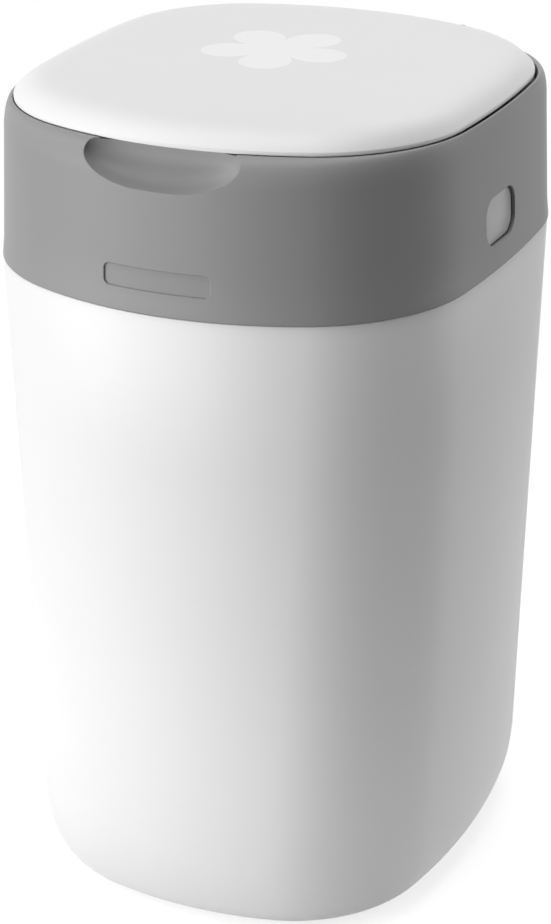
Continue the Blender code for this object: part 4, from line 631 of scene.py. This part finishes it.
tone = add(tree, "ShaderNodeMix", {"Factor": printed.outputs["Result"], "A": old,
                                   "B": colour("#fdfdfd")}, data_type="RGBA")
tree.links.new(tone.outputs[2], shader.inputs["Base Color"])
rows = [(inset(LID_EDGE, 0.3), 418.8), (LID_EDGE, 419.0), (LID_EDGE, 420.5), (inset(LID_EDGE, 0.1), 420.8)]
for step in range(21):
    share = (step / 20) ** 1.5
    rows.append((inset(LID_EDGE, 0.4 + 33.0 * share), 421.1 + 9.0 * (1 - (1 - share) ** 4)))
edge, edge_height = rows[-1]
points = outline(edge)
for share in (0.9, 0.8, 0.7, 0.6, 0.5, 0.4, 0.3, 0.2, 0.1, 0.04):
    rows.append(([(x * share, edge[5] + (y - edge[5]) * share) for x, y in points],
                 edge_height + 0.2 * (1 - share ** 2)))
under = [(inset(LID_EDGE, 2.5), 418.8), (inset(LID_EDGE, 2.5), 420.9), (inset(LID_EDGE, 6.0), 422.9),
         (inset(LID_EDGE, 14.0), 426.1), (inset(LID_EDGE, 24.0), 427.5), (inset(LID_EDGE, 70.0), 427.6)]
bm = bmesh.new()
skin(bm, under[::-1] + rows)
# It lies a touch forward and to the left in its pocket, where the gap round it is narrower
bmesh.ops.translate(bm, verts=bm.verts, vec=(-0.4 * MM, -0.4 * MM, 0))
piece("lid_top", bm, cover_white, "lid", "lid_cover", smooth=40)

# The liner, a shallow dish with a flange, and the two arms that reach back to the hinge
arm = ([(101.4, 410.6), (125.1, 410.6)] + arc(lid_axis, 3.6, -105, 165, 24)
       + [(123.0, 412.7), (108.7, 412.7), (108.7, 413.6), (101.4, 413.6)])
bm = bmesh.new()
skin(bm, [(inset(LID_EDGE, distance), height) for distance, height in (
    (70.0, 413.0), (10.5, 413.0), (10.1, 413.2), (10.0, 413.5), (10.0, 419.4), (3.2, 419.4),
    (2.9, 419.7), (2.9, 420.6), (3.2, 420.9), (12.0, 420.9), (12.0, 415.0), (70.0, 415.0))])
for start, end in arm_spans:
    block(bm, arm, "X", start, end, soft=0.35)
liner_white = moulded("liner_polypropylene", "#e6e6e6", "#e2e2e2", 0.45, 1.49, 0.9, 0.02)
piece("lid_underside", bm, liner_white, "lid", "lid_liner")
for name, side in (("left", -1), ("right", 1)):
    bm = bmesh.new()
    rod(bm, lid_axis, 1.5, "X", *sorted((side * 26.5, side * 49.5)), soft=0.3)
    piece(f"lid_pin_{name}", bm, steel, "head", f"lid_hinge_pin_{name}")

# Seal: a soft ring in the liner's groove that rests on the deck round the well
bm = bmesh.new()
turn(bm, ((102.6, 413.6), (104.8, 413.6), (104.8, 412.7), (105.4, 412.0), (105.3, 410.6), (104.6, 409.3),
          (103.7, 408.8), (102.8, 409.3), (102.1, 410.6), (102.0, 412.0), (102.6, 412.7)), 144)
piece("lid_seal_ring", bm, elastomer, "lid", "lid_seal")


# Release buttons. One on each side, pale grey ABS: a cap set back in its window, a flange
# behind the wall, a peg for the spring, and a hook that hangs down to the tub's keeper.
button_grey = moulded("button_abs", "#c4c4c4", "#c1c1c1", 0.38, 1.54, 0.8, 0.015)
for name, side, body in (("right", 1, "button_right"), ("left", -1, "button_left")):
    bm = bmesh.new()
    cap = bmesh.new()
    block(cap, pill(37.8, 24.0, 9.0, window_place), "X", *sorted((side * 119.0, side * 124.0)))
    bmesh.ops.bisect_plane(cap, geom=cap.verts[:] + cap.edges[:] + cap.faces[:], clear_outer=True,
                           plane_co=(side * 121.7 * MM, 0, window_place[1] * MM), plane_no=(side, 0, 0.045))
    bmesh.ops.holes_fill(cap, edges=cap.edges)
    bmesh.ops.recalc_face_normals(cap, faces=cap.faces)
    soften(cap, 0.5)
    join(bm, cap)
    block(bm, pill(42.6, 28.0, 11.4, (-10.1, 366.2)), "X", *sorted((side * 117.55, side * 119.55)), soft=0.3)
    rod(bm, spring_place, 3.0, "X", *sorted((side * 118.1, side * 113.55)), soft=0.4)
    hook = [(112.3, 341.0), (114.7, 341.0), (116.0, 342.6), (116.0, 343.9), (114.7, 343.9),
            (114.7, 354.7), (118.1, 354.7), (118.1, 357.2), (112.3, 357.2)]
    block(bm, [(side * x, z) for x, z in hook], "Y", -18.1, -2.1, soft=0.3)
    piece(f"push_button_{name}", bm, button_grey, body, f"release_button_{name}")

# Springs: five turns of steel wire round each button's peg
for name, side in (("right", 1), ("left", -1)):
    curve = bpy.data.curves.new(f"button_coil_{name}", "CURVE")
    curve.dimensions, curve.bevel_depth, curve.bevel_resolution = "3D", 0.45 * MM, 3
    curve.use_fill_caps = True
    line = curve.splines.new("POLY")
    start, end, turns, fine, coil_radius = 102.05, 117.25, 5, 24, 4.4
    path = [(start, 0.0)]
    path += [(start + 0.9 + (end - start - 1.8) * step / (turns * fine), 2 * math.pi * step / fine)
             for step in range(turns * fine + 1)]
    path.append((end, path[-1][1]))
    line.points.add(len(path) - 1)
    for spot, (x, angle) in zip(line.points, path):
        spot.co = (side * x * MM, (spring_place[0] + coil_radius * math.cos(angle)) * MM,
                   (spring_place[1] + coil_radius * math.sin(angle)) * MM, 1.0)
    wire = bpy.data.objects.new(f"button_coil_{name}", curve)
    bpy.context.scene.collection.objects.link(wire)
    bpy.context.view_layer.update()
    mesh = bpy.data.meshes.new_from_object(wire.evaluated_get(bpy.context.evaluated_depsgraph_get()))
    bpy.data.objects.remove(wire)
    coil = bmesh.new()
    coil.from_mesh(mesh)
    coil_piece = piece(f"button_coil_{name}", coil, steel, "head", f"button_spring_{name}")
    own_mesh(coil_piece)


# Studio. A plain pale floor, a white surround that shows behind the bin and in its gloss but
# gives no other light, and six soft boxes: a low key and a high one on the left, and one each
# in front, right, above and behind.
def rays_that_see(tree):
    """One for the camera's rays and those off gloss or through a clear piece, nought for others."""
    rays = add(tree, "ShaderNodeLightPath")
    seen = add(tree, "ShaderNodeMath", {0: rays.outputs["Is Camera Ray"],
                                        1: rays.outputs["Is Glossy Ray"]}, operation="MAXIMUM")
    return add(tree, "ShaderNodeMath", {0: seen.outputs[0], 1: rays.outputs["Is Transmission Ray"]},
               operation="MAXIMUM").outputs[0]


bm = bmesh.new()
bmesh.ops.create_grid(bm, x_segments=1, y_segments=1, size=6.0)
floor_mesh = bpy.data.meshes.new("studio_floor")
bm.to_mesh(floor_mesh)
bm.free()
studio_floor = bpy.data.objects.new("studio_floor", floor_mesh)
bpy.context.scene.collection.objects.link(studio_floor)
floor_material = bpy.data.materials.new("studio_floor")
floor_material.use_nodes = True
shader = floor_material.node_tree.nodes["Principled BSDF"]
shader.inputs["Base Color"].default_value = colour("#cfcfcf")
shader.inputs["Roughness"].default_value = 0.9
tree = floor_material.node_tree
shader.inputs["Emission Color"].default_value = (1, 1, 1, 1)
glow = add(tree, "ShaderNodeMath", {0: rays_that_see(tree), 1: 0.68}, operation="MULTIPLY")
tree.links.new(glow.outputs[0], shader.inputs["Emission Strength"])
place = add(tree, "ShaderNodeTexCoord").outputs["Object"]
away = add(tree, "ShaderNodeVectorMath", {0: place}, operation="LENGTH")
fade = add(tree, "ShaderNodeMapRange", {"Value": away.outputs["Value"], "From Min": 0.35, "From Max": 0.75})
clear = add(tree, "ShaderNodeBsdfTransparent")
mixed = add(tree, "ShaderNodeMixShader", {0: fade.outputs["Result"], 1: shader.outputs["BSDF"],
                                          2: clear.outputs["BSDF"]})
tree.links.new(mixed.outputs["Shader"], tree.nodes["Material Output"].inputs["Surface"])
floor_mesh.materials.append(floor_material)

world = bpy.data.worlds.new("studio")
bpy.context.scene.world = world
world.use_nodes = True
backing = world.node_tree.nodes["Background"]
world.node_tree.links.new(rays_that_see(world.node_tree), backing.inputs["Strength"])
backing.inputs["Color"].default_value = (1, 1, 1, 1)


def direction(azimuth, elevation):
    """The way from the bin to a lamp or to the camera, angles in degrees from the front."""
    a, e = math.radians(azimuth), math.radians(elevation)
    return Vector((math.sin(a) * math.cos(e), -math.cos(a) * math.cos(e), math.sin(e)))


def lamp(name, azimuth, elevation, width, height, power):
    """A soft box that faces the bin's middle, placed by its direction at the lamps' distance."""
    light = bpy.data.lights.new(name, "AREA")
    light.shape, light.size, light.size_y, light.energy = "RECTANGLE", width, height, power
    made = bpy.data.objects.new(name, light)
    bpy.context.scene.collection.objects.link(made)
    way = direction(azimuth, elevation)
    made.location = bin_middle + way * lamp_distance
    made.rotation_euler = way.to_track_quat("Z", "Y").to_euler()


bin_middle, lamp_distance = Vector((0, 0, 220.0 * MM)), 2200.0 * MM
lamp("low_key_box", -45, 2, 1.0, 1.2, 20.5)
lamp("high_left_box", -60, 50, 1.2, 1.6, 12.5)
lamp("front_box", -14, 2, 1.0, 1.2, 17.0)
lamp("right_box", 125, 12, 1.2, 1.6, 16.0)
lamp("top_box", 10, 85, 1.2, 1.6, 20.0)
lamp("back_box", 180, 50, 1.2, 1.6, 6.5)

camera = bpy.data.cameras.new("camera")
camera.lens, camera.sensor_width = 111.388, 36.0
eye = bpy.data.objects.new("camera", camera)
bpy.context.scene.collection.objects.link(eye)
eye.location = (573.93 * MM, -1277.10 * MM, 804.10 * MM)
level_turn, roll = direction(24.332, 23.012).to_track_quat("Z", "Y"), math.radians(-0.2265)
eye.rotation_euler = (level_turn @ Quaternion((0, 0, 1), roll)).to_euler()
bpy.context.scene.camera = eye
bpy.context.scene.view_settings.view_transform = "Standard"
